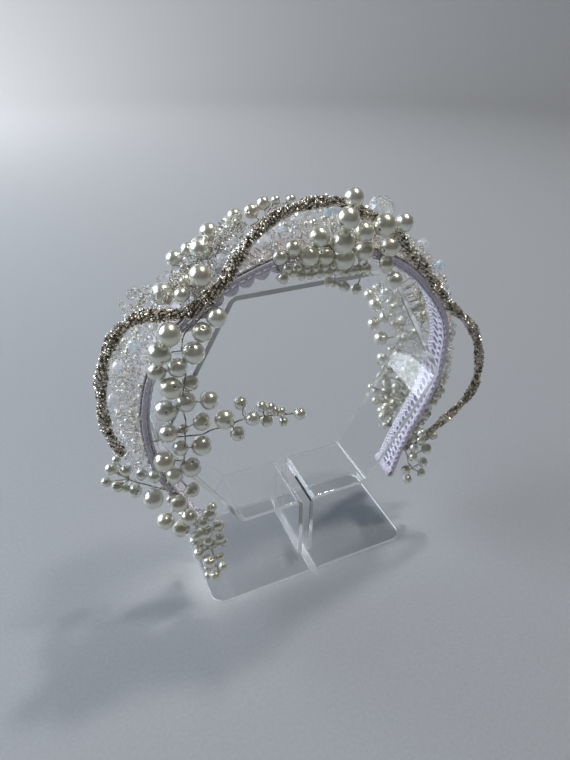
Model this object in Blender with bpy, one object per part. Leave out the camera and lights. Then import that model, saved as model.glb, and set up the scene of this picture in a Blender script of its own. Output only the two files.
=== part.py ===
"""A pearl bridal headband on its clear display stand, in metres, +Z up.

The band opens downwards and its front faces -Y. Charts are in millimetres. They give a place by
its angle round the ring's centre (0 at +X, 90 at the top), its reach from that centre in the XZ
plane, and its depth along Y, all from the middle of the stand.
"""

import math

import bmesh
import bpy
import numpy as np
from mathutils import Matrix, Vector

MM = 0.001
WELD = 0.00001
SHARP_ANGLE = 35.0

# The stand's middle, placed so that the whole thing's box is centred on the origin
STAND_X = -3.4
STAND_Y = 6.4

# Display stand: a strip of clear sheet bent into a hexagon, a double neck and two feet
SHEET = 2.0
HEXAGON_REACH = 63.0
HEXAGON_TURN = 60.0
RING_HEIGHT = 92.9
STRIP_DEPTH = 30.0
BEND_RADIUS = 3.0
BEND_STEPS = 2
NECK_X = 2.7
FOOT_REACH = 50.5
FOOT_DEPTH = 51.0
FOOT_CORNER = 6.0
CORNER_STEPS = 4

# Band and its lining: an arc that runs on into two straight legs. Their depths are fixed, and their
# reaches are heights over the course of the lining's inner face
ARC_START = -20.0
ARC_END = 200.0
LEG_LENGTH = 38.0
LEG_REACH = 64.0
BRAID_HEIGHT = 2.0
BRAID_FRONT = -13.2
BRAID_BACK = 0.4
BAND_BOTTOM = 2.4
BAND_TOP = 3.4
BAND_FRONT = -12.4
BAND_BACK = -0.4
ARC_STEP = 5.0

# Crystal bed: its bottom follows the band, its outer reach and back follow the chart
BED_BOTTOM = 4.3
BED_FRONT = -11.0
BED_STEP = 0.8
BED_CROWN = 0.8
BED_EDGE = 2.6
BED_EDGE_SHARE = 0.6
STONE_SIDES = 8
CRYSTAL_SIDES = 10

# Cut stones, as shares of their radius
TABLE = 0.55
CROWN_HEIGHT = 0.7
CULET = 0.3
PAVILION_HEIGHT = 0.9

# Pearls: ten sides round, and one more row of faces on the large ones
PEARL_SIDES = 10
LARGE_PEARL = 7.0
LARGE_ROWS = 5
SMALL_ROWS = 4

# Wires, and the gaps that neighbours keep
STEM_RADIUS = 0.7
STEM_STEP = 8.0
TWIG_RADIUS = 0.45
TWIG_SIDES = 5
GAP = 0.45
SAME_SPRAY_GAP = 0.1
SETTLE_ROUNDS = 400
PULL_BACK = 0.02
FIXED_STEP = 2.0
LEAST_DISTANCE = 0.000001

# Bead rope: two strands twisted together, so its section is an oval that turns
ROPE_STEP = 4.2
ROPE_PITCH = 17.0
ROPE_SIDES = 8
ROPE_LOBE = 0.16

# The inner face of the lining, which lies on the stand's corners and bulges between them, and
# leans a little on the right leg. Columns: angle, reach at the front edge, reach at the back edge
COURSE = (
    (-54.0, 62.6, 64.4),
    (-40.0, 60.9, 63.8),
    (-30.0, 60.8, 64.6),
    (-20.0, 61.6, 65.4),
    (-10.0, 63.0, 66.2),
    (0.0, 64.3, 67.0),
    (8.0, 65.0, 68.2),
    (15.0, 66.2, 68.6),
    (23.0, 66.6, 68.5),
    (31.0, 65.6, 68.0),
    (40.0, 64.9, 67.2),
    (48.0, 64.8, 66.8),
    (60.0, 64.4, 65.6),
    (75.0, 64.1, 64.5),
    (90.0, 63.7, 64.0),
    (105.0, 63.8, 64.0),
    (112.0, 64.0, 64.1),
    (120.0, 64.6, 64.6),
    (128.0, 65.3, 65.3),
    (136.0, 66.0, 66.0),
    (150.0, 66.8, 66.8),
    (158.0, 66.5, 66.5),
    (168.0, 65.7, 65.7),
    (176.0, 64.9, 64.9),
    (185.0, 64.2, 64.2),
    (200.0, 64.0, 64.0),
    (234.0, 64.0, 64.0),
)

# Columns: angle, depth of the back, outer reach
BED_LEFT = (
    (196.0, 8.0, 73.0),
    (188.0, 12.0, 76.0),
    (180.0, 13.0, 77.0),
    (172.0, 13.0, 76.5),
    (164.0, 12.0, 77.5),
    (156.0, 13.0, 77.0),
    (148.0, 12.0, 76.0),
    (141.0, 7.0, 74.0),
    (134.0, 4.0, 72.5),
    (125.0, 4.0, 72.0),
    (116.0, 4.0, 72.5),
    (107.0, 4.0, 72.0),
    (100.0, 5.0, 73.0),
    (95.7, 7.0, 74.0),
)
BED_RIGHT = (
    (95.2, 7.0, 74.0),
    (88.0, 10.0, 75.5),
    (80.0, 12.0, 76.0),
    (72.0, 13.0, 76.0),
    (63.0, 13.0, 77.0),
    (54.0, 12.0, 78.0),
    (45.0, 13.0, 77.5),
    (36.0, 13.0, 78.0),
    (27.0, 12.0, 77.0),
    (18.0, 13.0, 76.5),
    (9.0, 13.0, 77.0),
    (0.0, 12.0, 76.0),
    (-10.0, 13.0, 76.5),
    (-20.0, 13.0, 75.5),
    (-31.0, 12.0, 75.0),
    (-41.0, 9.0, 73.0),
)

# Columns: angle, reach, depth, size of the stones fused on the bed
STONES_LEFT = (
    (191.0, 75.5, -4.0, 5.0),
    (185.0, 77.5, 4.0, 5.0),
    (180.0, 78.0, -5.0, 6.0),
    (175.0, 77.5, 9.0, 5.0),
    (170.0, 77.5, 0.0, 5.5),
    (165.5, 78.0, -6.0, 5.0),
    (162.0, 78.5, 6.0, 6.0),
    (157.0, 78.0, -2.0, 5.0),
    (152.5, 77.5, 8.0, 5.5),
    (149.0, 77.0, -6.0, 5.0),
    (144.5, 75.5, 1.0, 5.5),
    (139.5, 75.0, -6.0, 5.0),
    (127.0, 73.5, -8.0, 4.5),
    (116.0, 74.0, -7.0, 4.5),
    (111.0, 73.5, -8.0, 4.5),
    (104.0, 73.8, -8.6, 6.5),
    (98.5, 75.0, -6.0, 5.0),
)
STONES_RIGHT = (
    (92.0, 76.0, -2.0, 5.0),
    (88.0, 77.0, 4.0, 6.0),
    (83.0, 76.5, -3.0, 5.0),
    (77.0, 77.0, 5.0, 5.5),
    (71.0, 77.0, -2.0, 5.0),
    (66.0, 77.5, 7.0, 6.0),
    (60.0, 78.5, -3.0, 5.5),
    (54.0, 79.0, 5.0, 5.0),
    (48.5, 79.0, -5.0, 6.0),
    (43.0, 79.0, 3.0, 5.5),
    (37.0, 79.5, -4.0, 5.0),
    (31.5, 78.5, 6.0, 6.0),
    (25.0, 78.0, -3.0, 5.5),
    (19.0, 77.5, 5.0, 5.0),
    (12.0, 78.0, -5.0, 5.5),
    (6.0, 78.0, 4.0, 6.0),
    (-1.0, 77.5, -4.0, 5.0),
    (-8.0, 77.5, 3.0, 5.5),
    (-15.0, 77.0, -5.0, 6.0),
    (-22.0, 76.0, 4.0, 5.0),
    (-29.0, 76.0, -3.0, 5.5),
    (-37.0, 74.5, 4.0, 5.0),
)

# Columns: angle, reach, depth, thickness
ROPE = (
    (180.0, 76.5, -13.8, 3.6),
    (176.0, 78.5, -14.0, 4.2),
    (172.0, 80.5, -14.0, 4.5),
    (166.0, 82.5, -14.0, 4.6),
    (159.0, 84.6, -14.0, 4.6),
    (153.0, 86.0, -14.0, 4.8),
    (148.0, 86.5, -14.0, 4.6),
    (143.0, 85.5, -14.0, 4.6),
    (139.0, 82.0, -14.2, 4.8),
    (136.0, 76.5, -14.6, 5.0),
    (133.0, 71.8, -15.2, 5.2),
    (129.0, 70.0, -15.6, 5.4),
    (123.0, 70.0, -15.8, 5.6),
    (118.0, 71.0, -15.4, 5.4),
    (114.0, 74.0, -14.8, 5.2),
    (109.0, 77.5, -14.4, 5.0),
    (105.0, 80.0, -14.2, 4.8),
    (100.0, 82.0, -14.2, 4.6),
    (95.0, 83.0, -14.0, 4.6),
    (90.0, 83.4, -14.0, 4.4),
    (84.0, 82.6, -13.6, 4.4),
    (78.0, 79.8, -13.6, 4.4),
    (71.0, 77.6, -13.9, 4.4),
    (64.0, 75.2, -14.2, 4.6),
    (59.0, 72.5, -14.4, 4.8),
    (51.0, 70.8, -14.6, 4.8),
    (41.0, 69.5, -14.8, 4.8),
    (33.0, 70.0, -14.6, 4.8),
    (25.0, 73.0, -14.2, 4.6),
    (18.0, 78.0, -14.0, 4.6),
    (11.0, 82.5, -14.0, 4.8),
    (3.0, 86.0, -14.0, 4.8),
    (-3.0, 88.0, -14.0, 4.6),
    (-9.0, 89.0, -14.0, 4.6),
    (-14.0, 87.0, -14.0, 4.4),
    (-19.0, 82.6, -14.0, 4.4),
    (-24.0, 78.0, -14.2, 4.2),
    (-29.0, 74.0, -14.6, 4.0),
    (-34.0, 72.3, -14.8, 3.6),
)

# Columns: angle, reach, depth, size. Each stem starts where it is bound to the band or its bed.
FRONT_GARLAND_STEM = (
    (126.0, 65.6, -14.4),
    (128.5, 65.8, -15.2),
    (133.0, 66.5, -15.5),
    (137.5, 67.2, -15.8),
    (141.0, 65.5, -17.8),
    (147.0, 61.0, -19.2),
    (156.0, 58.3, -20.4),
    (166.0, 55.5, -20.8),
    (175.0, 54.4, -21.0),
    (184.0, 55.8, -20.6),
    (191.5, 59.0, -18.5),
    (195.3, 62.6, -16.3),
    (198.5, 66.9, -13.7),
)
FRONT_GARLAND = (
    (127.5, 65.0, -17.0, 7.0),
    (133.6, 63.8, -18.5, 7.0),
    (138.4, 74.0, -18.8, 8.0),
    (140.2, 62.2, -19.5, 8.0),
    (144.3, 72.3, -18.8, 8.0),
    (146.8, 64.0, -19.0, 7.0),
    (151.0, 68.5, -18.0, 6.5),
    (151.0, 56.8, -18.8, 6.0),
    (153.4, 64.0, -20.0, 8.0),
    (156.8, 47.4, -19.3, 7.0),
    (159.0, 56.6, -19.5, 7.5),
    (162.0, 62.6, -20.0, 8.0),
    (168.0, 48.2, -19.3, 7.0),
    (172.0, 60.4, -19.3, 7.0),
    (180.5, 48.2, -20.0, 8.0),
    (180.0, 56.0, -19.0, 6.0),
    (183.3, 62.8, -20.0, 8.0),
    (190.5, 54.0, -20.0, 8.0),
    (192.0, 61.0, -19.0, 6.5),
    (203.0, 58.0, -19.0, 6.0),
    (196.7, 72.0, -20.0, 8.0),
)
LEFT_END_STEM = (
    (204.0, 67.2, -13.5),
    (212.0, 69.0, -15.5),
    (220.0, 69.5, -20.0),
    (225.0, 71.5, -24.0),
    (229.0, 75.0, -28.0),
    (232.0, 79.0, -31.0),
)
LEFT_END = (
    (204.5, 65.5, -20.0, 7.0),
    (208.0, 74.5, -19.5, 7.0),
    (212.0, 66.5, -21.0, 7.0),
    (214.6, 73.0, -20.0, 7.0),
    (218.5, 61.0, -20.0, 6.0),
    (221.0, 67.5, -23.0, 6.5),
    (222.5, 75.0, -21.0, 5.0),
    (225.5, 63.0, -22.0, 5.0),
    (227.0, 72.0, -23.5, 5.0),
    (224.0, 76.5, -25.5, 5.0),
    (227.5, 76.5, -28.5, 6.0),
    (231.5, 81.0, -31.0, 4.5),
)
OUTER_SPRIG_STEM = (
    (201.5, 67.2, -13.5),
    (196.0, 71.5, -13.6),
    (190.0, 77.0, -13.8),
)
OUTER_SPRIG = (
    (184.0, 81.8, -14.0, 4.5),
    (190.5, 82.0, -14.0, 4.5),
    (185.5, 76.8, -15.0, 4.5),
    (194.5, 77.0, -14.5, 5.4),
    (189.0, 72.0, -15.0, 4.5),
)
INNER_SPRIG_STEM = (
    (178.0, 72.0, -12.2),
    (177.0, 70.0, -15.0),
    (176.5, 67.0, -16.7),
    (175.5, 58.0, -17.6),
    (174.8, 49.0, -19.5),
    (168.0, 41.5, -24.0),
    (161.0, 36.5, -26.5),
    (152.0, 29.0, -30.0),
    (137.0, 23.0, -35.0),
)
INNER_SPRIG = (
    (163.0, 41.6, -24.0, 7.5),
    (151.5, 38.5, -25.0, 5.0),
    (171.5, 36.0, -25.5, 6.0),
    (156.0, 34.0, -29.5, 5.5),
    (157.0, 27.5, -29.0, 5.0),
    (134.0, 22.0, -36.0, 4.5),
)
BACK_GARLAND_STEM = (
    (134.0, 74.4, -5.0),
    (128.0, 74.3, 0.0),
    (119.0, 74.3, 2.0),
    (108.0, 74.3, 2.0),
    (99.0, 75.5, 3.0),
)
BACK_GARLAND = (
    (133.0, 78.5, -8.0, 7.6),
    (129.5, 76.5, -14.5, 5.0),
    (123.0, 77.5, -15.5, 7.5),
    (125.5, 77.5, 6.0, 6.4),
    (121.5, 77.5, 5.0, 5.4),
    (118.0, 74.0, 9.0, 7.2),
    (114.5, 78.0, 5.5, 7.0),
    (108.0, 75.0, 9.0, 7.2),
    (107.0, 79.5, 4.0, 5.4),
    (102.0, 78.0, 6.0, 5.4),
    (98.5, 79.5, 6.0, 4.7),
)
CROWN_STEM = (
    (103.0, 67.0, -13.5),
    (94.0, 66.9, -13.5),
    (84.0, 67.0, -13.5),
    (74.0, 67.3, -13.5),
    (64.0, 67.6, -13.5),
)
CROWN_CLUSTER = (
    (102.5, 69.0, -16.6, 5.0),
    (98.0, 70.5, -16.8, 5.5),
    (93.0, 67.0, -17.6, 7.0),
    (88.8, 65.6, -17.4, 6.0),
    (90.8, 72.8, -17.5, 7.0),
    (85.0, 72.8, -21.0, 8.0),
    (82.8, 64.6, -18.0, 8.0),
    (84.6, 79.5, -21.0, 8.0),
    (83.2, 84.5, -18.0, 6.5),
    (77.5, 75.0, -19.5, 7.0),
    (73.8, 77.8, -20.5, 8.0),
    (67.0, 80.5, -19.0, 6.5),
    (76.0, 67.8, -18.5, 7.0),
    (68.0, 71.0, -19.0, 7.0),
    (66.0, 64.6, -18.0, 6.0),
    (59.5, 60.5, -18.6, 6.0),
)
CROWN_CRYSTAL = (69.5, 81.0, -8.0, 9.0)
RIGHT_GARLAND_STEM = (
    (40.0, 72.6, 14.1),
    (25.0, 73.8, 14.1),
    (10.0, 74.0, 14.1),
    (-5.0, 72.6, 14.1),
    (-20.0, 71.2, 14.1),
    (-35.0, 72.3, 14.1),
)
RIGHT_GARLAND = (
    (32.0, 52.0, 18.0, 5.0),
    (27.0, 60.5, 18.0, 5.0),
    (23.5, 53.5, 19.0, 7.0),
    (20.5, 62.0, 18.4, 5.6),
    (13.0, 50.0, 18.7, 6.0),
    (14.0, 56.5, 18.7, 6.0),
    (8.5, 62.5, 18.0, 5.0),
    (2.0, 54.0, 19.0, 7.0),
    (0.0, 66.4, 18.0, 5.0),
    (351.0, 56.0, 18.0, 5.0),
    (340.0, 60.0, 18.0, 5.0),
    (337.0, 66.0, 18.0, 5.0),
    (327.5, 65.5, 18.0, 4.5),
    (330.0, 73.0, 18.0, 5.5),
    (324.0, 74.0, 18.0, 5.0),
    (19.0, 74.5, 16.4, 5.2),
    (14.0, 75.0, 16.4, 5.3),
    (8.5, 75.5, 16.5, 5.8),
)
RIGHT_END_STEM = (
    (-39.0, 68.0, -13.5),
    (-42.0, 76.0, -13.6),
    (-44.0, 82.0, -14.0),
)
RIGHT_END = (
    (325.0, 80.0, -14.5, 5.5),
    (320.0, 85.0, -14.5, 5.0),
    (314.5, 78.5, -14.5, 4.5),
    (316.5, 90.0, -14.5, 4.6),
    (312.0, 85.4, -14.5, 4.6),
    (320.5, 73.5, -16.2, 4.5),
)

SPRAYS = (
    ("front_garland", FRONT_GARLAND_STEM, FRONT_GARLAND),
    ("left_end_spray", LEFT_END_STEM, LEFT_END),
    ("outer_sprig", OUTER_SPRIG_STEM, OUTER_SPRIG),
    ("inner_sprig", INNER_SPRIG_STEM, INNER_SPRIG),
    ("back_garland", BACK_GARLAND_STEM, BACK_GARLAND),
    ("crown_cluster", CROWN_STEM, CROWN_CLUSTER),
    ("right_garland", RIGHT_GARLAND_STEM, RIGHT_GARLAND),
    ("right_end_spray", RIGHT_END_STEM, RIGHT_END),
)

# Columns: name, colour, roughness, metallic, transmission
MATERIALS = (
    ("clear_acrylic", (0.93, 0.95, 0.97), 0.03, 0.0, 1.0),
    ("band_metal", (0.74, 0.73, 0.72), 0.35, 1.0, 0.0),
    ("lilac_braid", (0.83, 0.79, 0.88), 0.75, 0.0, 0.0),
    ("clear_crystal", (0.9, 0.92, 0.96), 0.05, 0.0, 0.7),
    ("smoky_gold_beads", (0.48, 0.4, 0.3), 0.25, 0.8, 0.0),
    ("ivory_pearl", (0.86, 0.84, 0.78), 0.18, 0.0, 0.0),
)


def clear_scene():
    for thing in list(bpy.data.objects):
        bpy.data.objects.remove(thing, do_unlink=True)


def new_collection(name):
    collection = bpy.data.collections.new(name)
    bpy.context.scene.collection.children.link(collection)
    return collection


def make_material(name, colour, roughness, metallic, transmission):
    material = bpy.data.materials.new(name)
    material.use_nodes = True
    shader = material.node_tree.nodes["Principled BSDF"]
    shader.inputs["Base Color"].default_value = (*colour, 1.0)
    shader.inputs["Roughness"].default_value = roughness
    shader.inputs["Metallic"].default_value = metallic
    shader.inputs["Transmission Weight"].default_value = transmission
    return material


# Places


def ring_place(angle, reach, depth):
    """Millimetres from the stand's middle, for a charted place."""
    turn = math.radians(angle)
    return np.array((reach * math.cos(turn), depth, RING_HEIGHT + reach * math.sin(turn)))


def band_place(angle, reach, depth):
    """Like ring_place, but past the arc's ends the band runs straight on."""
    arc = min(max(angle, ARC_START), ARC_END)
    turn = math.radians(arc)
    run = math.radians(angle - arc) * LEG_REACH
    along = np.array((-math.sin(turn), 0.0, math.cos(turn)))
    return ring_place(arc, reach, depth) + run * along


def smooth_route(rows, step):
    """Points about a step apart on a smooth curve through the rows, whatever their columns."""
    rows = [np.array(row, float) for row in rows]
    rows = [2 * rows[0] - rows[1], *rows, 2 * rows[-1] - rows[-2]]
    route = []
    for before, start, end, after in zip(rows, rows[1:], rows[2:], rows[3:]):
        count = max(1, round(float(np.linalg.norm((end - start)[:3])) / step))
        for share in np.arange(count) / count:
            slope = (end - before) * share + (before * 2 - start * 5 + end * 4 - after) * share**2
            bend = (start * 3 - before - end * 3 + after) * share**3
            route.append(start + (slope + bend) / 2)
    route.append(rows[-2])
    return np.array(route)


def course_reach(angle, depth):
    """Reach of the lining's inner face at a depth, and straight on past its edges."""
    rows = np.array(COURSE)
    front = float(np.interp(angle, rows[:, 0], rows[:, 1]))
    back = float(np.interp(angle, rows[:, 0], rows[:, 2]))
    share = min(max((depth - BRAID_FRONT) / (BRAID_BACK - BRAID_FRONT), 0.0), 1.0)
    return front + (back - front) * share


def rope_rows():
    return [(*ring_place(angle, reach, depth), size) for angle, reach, depth, size in ROPE]


# Meshes


def mesh_object(name, bm):
    bmesh.ops.recalc_face_normals(bm, faces=bm.faces)
    mesh = bpy.data.meshes.new(name)
    bm.to_mesh(mesh)
    bm.free()
    return bpy.data.objects.new(name, mesh)


def solid_from_curve(name, curve, turn=None):
    """A mesh object made from a curve, with its caps welded to its sides."""
    drawn = bpy.data.objects.new(name, curve)
    bpy.context.scene.collection.objects.link(drawn)
    drawn.matrix_world = turn or Matrix.Identity(4)
    scene_graph = bpy.context.evaluated_depsgraph_get()
    mesh = bpy.data.meshes.new_from_object(drawn.evaluated_get(scene_graph))
    mesh.transform(drawn.matrix_world)
    bpy.data.objects.remove(drawn, do_unlink=True)
    bpy.data.curves.remove(curve)
    bm = bmesh.new()
    bm.from_mesh(mesh)
    bpy.data.meshes.remove(mesh)
    bmesh.ops.remove_doubles(bm, verts=bm.verts, dist=WELD)
    return mesh_object(name, bm)


def extruded(name, outline, depth, turn):
    """A flat outline in millimetres, extruded to both sides of its plane and then turned."""
    curve = bpy.data.curves.new(name, "CURVE")
    curve.dimensions = "2D"
    curve.fill_mode = "BOTH"
    curve.extrude = depth * MM / 2
    spline = curve.splines.new("POLY")
    spline.points.add(len(outline) - 1)
    for point, (across, up) in zip(spline.points, outline):
        point.co = (across * MM, up * MM, 0.0, 1.0)
    spline.use_cyclic_u = True
    return solid_from_curve(name, curve, turn)


def wire(name, route, radius):
    """A round wire of six sides along a route in millimetres."""
    curve = bpy.data.curves.new(name, "CURVE")
    curve.dimensions = "3D"
    curve.bevel_depth = radius * MM
    curve.bevel_resolution = 1
    curve.use_fill_caps = True
    spline = curve.splines.new("POLY")
    spline.points.add(len(route) - 1)
    for point, place in zip(spline.points, route):
        point.co = (*(Vector(place) * MM), 1.0)
    return solid_from_curve(name, curve)


def loft(name, rings):
    """A closed solid through rings of points in millimetres, with flat ends."""
    bm = bmesh.new()
    loops = [[bm.verts.new(Vector(place) * MM) for place in ring] for ring in rings]
    for near, far in zip(loops, loops[1:]):
        for side in range(len(near)):
            after = (side + 1) % len(near)
            bm.faces.new((near[side], near[after], far[after], far[side]))
    bm.faces.new(loops[0])
    bm.faces.new(loops[-1])
    return mesh_object(name, bm)


def pearl(centre, size):
    """A round bead."""
    rows = LARGE_ROWS if size >= LARGE_PEARL else SMALL_ROWS
    place = Matrix.Translation(Vector(centre) * MM)
    bm = bmesh.new()
    bmesh.ops.create_uvsphere(
        bm, u_segments=PEARL_SIDES, v_segments=rows, radius=size * MM / 2, matrix=place
    )
    return mesh_object("pearl", bm)


def straight_wire(start, end, radius):
    """A straight wire of five sides between two places in millimetres."""
    run = (Vector(end) - Vector(start)) * MM
    turn = run.to_track_quat("Z", "Y").to_matrix().to_4x4()
    middle = Matrix.Translation((Vector(start) + Vector(end)) * MM / 2)
    bm = bmesh.new()
    bmesh.ops.create_cone(
        bm, cap_ends=True, segments=TWIG_SIDES, radius1=radius * MM, radius2=radius * MM,
        depth=run.length, matrix=middle @ turn,
    )
    return mesh_object("twig", bm)


def cut_stone(name, centre, size, sides):
    """A stone with a table, a ring of crown facets and a ring of pavilion facets."""
    radius = size * MM / 2
    outward = Vector((centre[0], 0.0, centre[2] - RING_HEIGHT)).normalized()
    turn = outward.to_track_quat("Z", "Y").to_matrix().to_4x4()
    place = Matrix.Translation(Vector(centre) * MM) @ turn
    bm = bmesh.new()
    bmesh.ops.create_cone(
        bm, cap_ends=True, segments=sides, radius1=radius, radius2=radius * TABLE,
        depth=radius * CROWN_HEIGHT,
        matrix=place @ Matrix.Translation((0, 0, radius * CROWN_HEIGHT / 2)),
    )
    bmesh.ops.create_cone(
        bm, cap_ends=True, segments=sides, radius1=radius * CULET, radius2=radius,
        depth=radius * PAVILION_HEIGHT,
        matrix=place @ Matrix.Translation((0, 0, -radius * PAVILION_HEIGHT / 2)),
    )
    bmesh.ops.remove_doubles(bm, verts=bm.verts, dist=WELD)
    girdle = [face for face in bm.faces if abs((place.inverted() @ face.calc_center_median()).z) < WELD]
    bmesh.ops.delete(bm, geom=girdle, context="FACES_ONLY")
    return mesh_object(name, bm)


# Finished pieces


def finish(thing, material, parts, carrier):
    """Put a finished piece in its collection, with its material, on the stand's place."""
    parts.objects.link(thing)
    thing.parent = carrier
    thing.data.materials.clear()
    thing.data.materials.append(material)
    thing.data.shade_smooth()
    thing.data.set_sharp_from_angle(angle=math.radians(SHARP_ANGLE))
    return thing


def fused(name, pieces, cutters):
    """One solid from overlapping closed pieces."""
    body, *others = pieces
    helpers = bpy.data.collections.new(name + "_pieces")
    cutters.children.link(helpers)
    for other in others:
        helpers.objects.link(other)
        other.hide_render = True
        other.display_type = "WIRE"
    cutters.objects.link(body)
    union = body.modifiers.new("union", "BOOLEAN")
    union.operation = "UNION"
    union.solver = "EXACT"
    union.operand_type = "COLLECTION"
    union.collection = helpers
    scene_graph = bpy.context.evaluated_depsgraph_get()
    mesh = bpy.data.meshes.new_from_object(body.evaluated_get(scene_graph))
    for piece in pieces:
        bpy.data.objects.remove(piece, do_unlink=True)
    bpy.data.collections.remove(helpers)
    return bpy.data.objects.new(name, mesh)


# Display stand


def rounded(corners, radius, steps):
    """A path whose inner corners are turned into arcs."""
    corners = [Vector(corner) for corner in corners]
    path = [corners[0]]
    for before, corner, after in zip(corners, corners[1:], corners[2:]):
        back = (before - corner).normalized()
        forth = (after - corner).normalized()
        half = back.angle(forth) / 2
        centre = corner + (back + forth).normalized() * radius / math.sin(half)
        first = corner + back * radius / math.tan(half) - centre
        last = corner + forth * radius / math.tan(half) - centre
        for step in range(steps + 1):
            path.append(centre + first.slerp(last, step / steps).normalized() * radius)
    return [*path, corners[-1]]


def strip_outline(path, thickness):
    """The closed outline of a strip of even thickness along a path."""
    sides = ([], [])
    for index, point in enumerate(path):
        before = path[max(index - 1, 0)]
        after = path[min(index + 1, len(path) - 1)]
        along = (after - before).normalized()
        across = Vector((-along.y, along.x)) * thickness / 2
        sides[0].append(point + across)
        sides[1].append(point - across)
    return sides[0] + sides[1][::-1]


def strip_path():
    """Up the left neck, round the hexagon and down the right neck, seen from the front."""
    reach = HEXAGON_REACH
    corner_height = reach * math.sin(math.radians(HEXAGON_TURN))
    shelf = RING_HEIGHT - corner_height
    right = [
        (reach / 2, RING_HEIGHT + corner_height),
        (reach, RING_HEIGHT),
        (reach / 2, shelf),
        (NECK_X, shelf),
        (NECK_X, SHEET / 2),
    ]
    left = [(-across, up) for across, up in right[::-1]]
    return rounded(left + right, BEND_RADIUS, BEND_STEPS)


def foot_outline(side):
    """A foot from above: square at the neck, with rounded outer corners."""
    inner = NECK_X - SHEET / 2
    half = FOOT_DEPTH / 2
    corners = [(inner, -half), (FOOT_REACH, -half), (FOOT_REACH, half), (inner, half)]
    return [(side * point.x, point.y) for point in rounded(corners, FOOT_CORNER, CORNER_STEPS)]


def display_stand(cutters):
    upright = Matrix.Rotation(math.radians(90), 4, "X")
    strip = extruded("strip", strip_outline(strip_path(), SHEET), STRIP_DEPTH, upright)
    flat = Matrix.Translation((0, 0, SHEET * MM / 2))
    feet = [extruded("foot", foot_outline(side), SHEET, flat) for side in (-1, 1)]
    return fused("display_stand", [strip, *feet], cutters)


# Band, lining and bed


def band_strip(name, bottom, top, front, back):
    """A strip along the band's whole course, between two heights over it and two depths."""
    leg_angle = math.degrees(LEG_LENGTH / LEG_REACH)
    first, last = ARC_START - leg_angle, ARC_END + leg_angle
    rings = []
    for angle in np.linspace(first, last, round((last - first) / ARC_STEP) + 1):
        corners = ((bottom, front), (top, front), (top, back), (bottom, back))
        rings.append([
            band_place(angle, course_reach(angle, depth) + height, depth) for height, depth in corners
        ])
    return loft(name, rings)


def bed_section(angle, back, reach):
    """One section of the crystal bed, with rounded outer edges."""
    middle = (BED_FRONT + back) / 2
    front_bottom = course_reach(angle, BED_FRONT) + BED_BOTTOM
    back_bottom = course_reach(angle, BED_STEP) + BED_BOTTOM
    edge = min(BED_EDGE, BED_EDGE_SHARE * (reach - max(front_bottom, back_bottom)))
    corners = (
        (front_bottom, BED_FRONT),
        (reach - edge, BED_FRONT),
        (reach, BED_FRONT + BED_EDGE),
        (reach + BED_CROWN, middle),
        (reach, back - BED_EDGE),
        (reach - edge, back),
        (back_bottom, back),
        (back_bottom, BED_STEP),
    )
    return [band_place(angle, out, depth) for out, depth in corners]


def crystal_bed(name, sections, stones, cutters):
    bed = loft(name, [bed_section(*section) for section in sections])
    pieces = [bed]
    for angle, reach, depth, size in stones:
        pieces.append(cut_stone("stone", band_place(angle, reach, depth), size, STONE_SIDES))
    return fused(name, pieces, cutters)


def bead_rope():
    """Two twisted strands as one solid: an oval section that turns along the route."""
    route = smooth_route(rope_rows(), ROPE_STEP)
    rings = []
    run = 0.0
    for index, row in enumerate(route):
        before = route[max(index - 1, 0)][:3]
        after = route[min(index + 1, len(route) - 1)][:3]
        along = Vector(after - before).normalized()
        side = along.cross(Vector((0, 1, 0))).normalized()
        up = side.cross(along)
        ring = []
        for number in range(ROPE_SIDES):
            turn = math.tau * number / ROPE_SIDES
            lobe = 1 - ROPE_LOBE + ROPE_LOBE * math.cos(2 * (turn - math.pi * run / ROPE_PITCH))
            radius = float(row[3]) / 2 * lobe
            ring.append(Vector(row[:3]) + radius * (math.cos(turn) * side + math.sin(turn) * up))
        rings.append(ring)
        run += ROPE_STEP
    return loft("bead_rope", rings)


# Settling the pearls: each is pushed off its neighbours and the hard pieces, and pulled back home


def fixed_balls():
    """Places, radii and owners of the things that pearls keep off."""
    rope = smooth_route(rope_rows(), FIXED_STEP)
    balls = [(row[:3], row[3] / 2, "bead_rope") for row in rope]
    for name, stem, _ in SPRAYS:
        route = smooth_route([ring_place(*row) for row in stem], FIXED_STEP)
        balls += [(place, STEM_RADIUS, name) for place in route]
    for angle, reach, depth, size in STONES_LEFT + STONES_RIGHT:
        balls.append((band_place(angle, reach, depth), size / 2, "crystal_bed"))
    angle, reach, depth, size = CROWN_CRYSTAL
    balls.append((ring_place(angle, reach, depth), size / 2, "crown_crystal"))
    return balls


def push_off_slab(place, radius, across, low, high, front, back):
    """Move a place out of a slab, whose height is measured along across, the short way."""
    room = radius + GAP
    height = float(place @ across)
    ways = (
        (height - low + room, -across),
        (high - height + room, across),
        (place[1] - front + room, np.array((0.0, -1.0, 0.0))),
        (back - place[1] + room, np.array((0.0, 1.0, 0.0))),
    )
    least, way = min(ways, key=lambda each: each[0])
    return place + way * least if least > 0 else place


def bed_limits(angle):
    """The bed's back and outer reach at an angle of its chart."""
    rows = np.array(BED_LEFT + BED_RIGHT)[::-1]
    back = float(np.interp(angle, rows[:, 0], rows[:, 1]))
    return back, float(np.interp(angle, rows[:, 0], rows[:, 2])) + BED_CROWN


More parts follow.
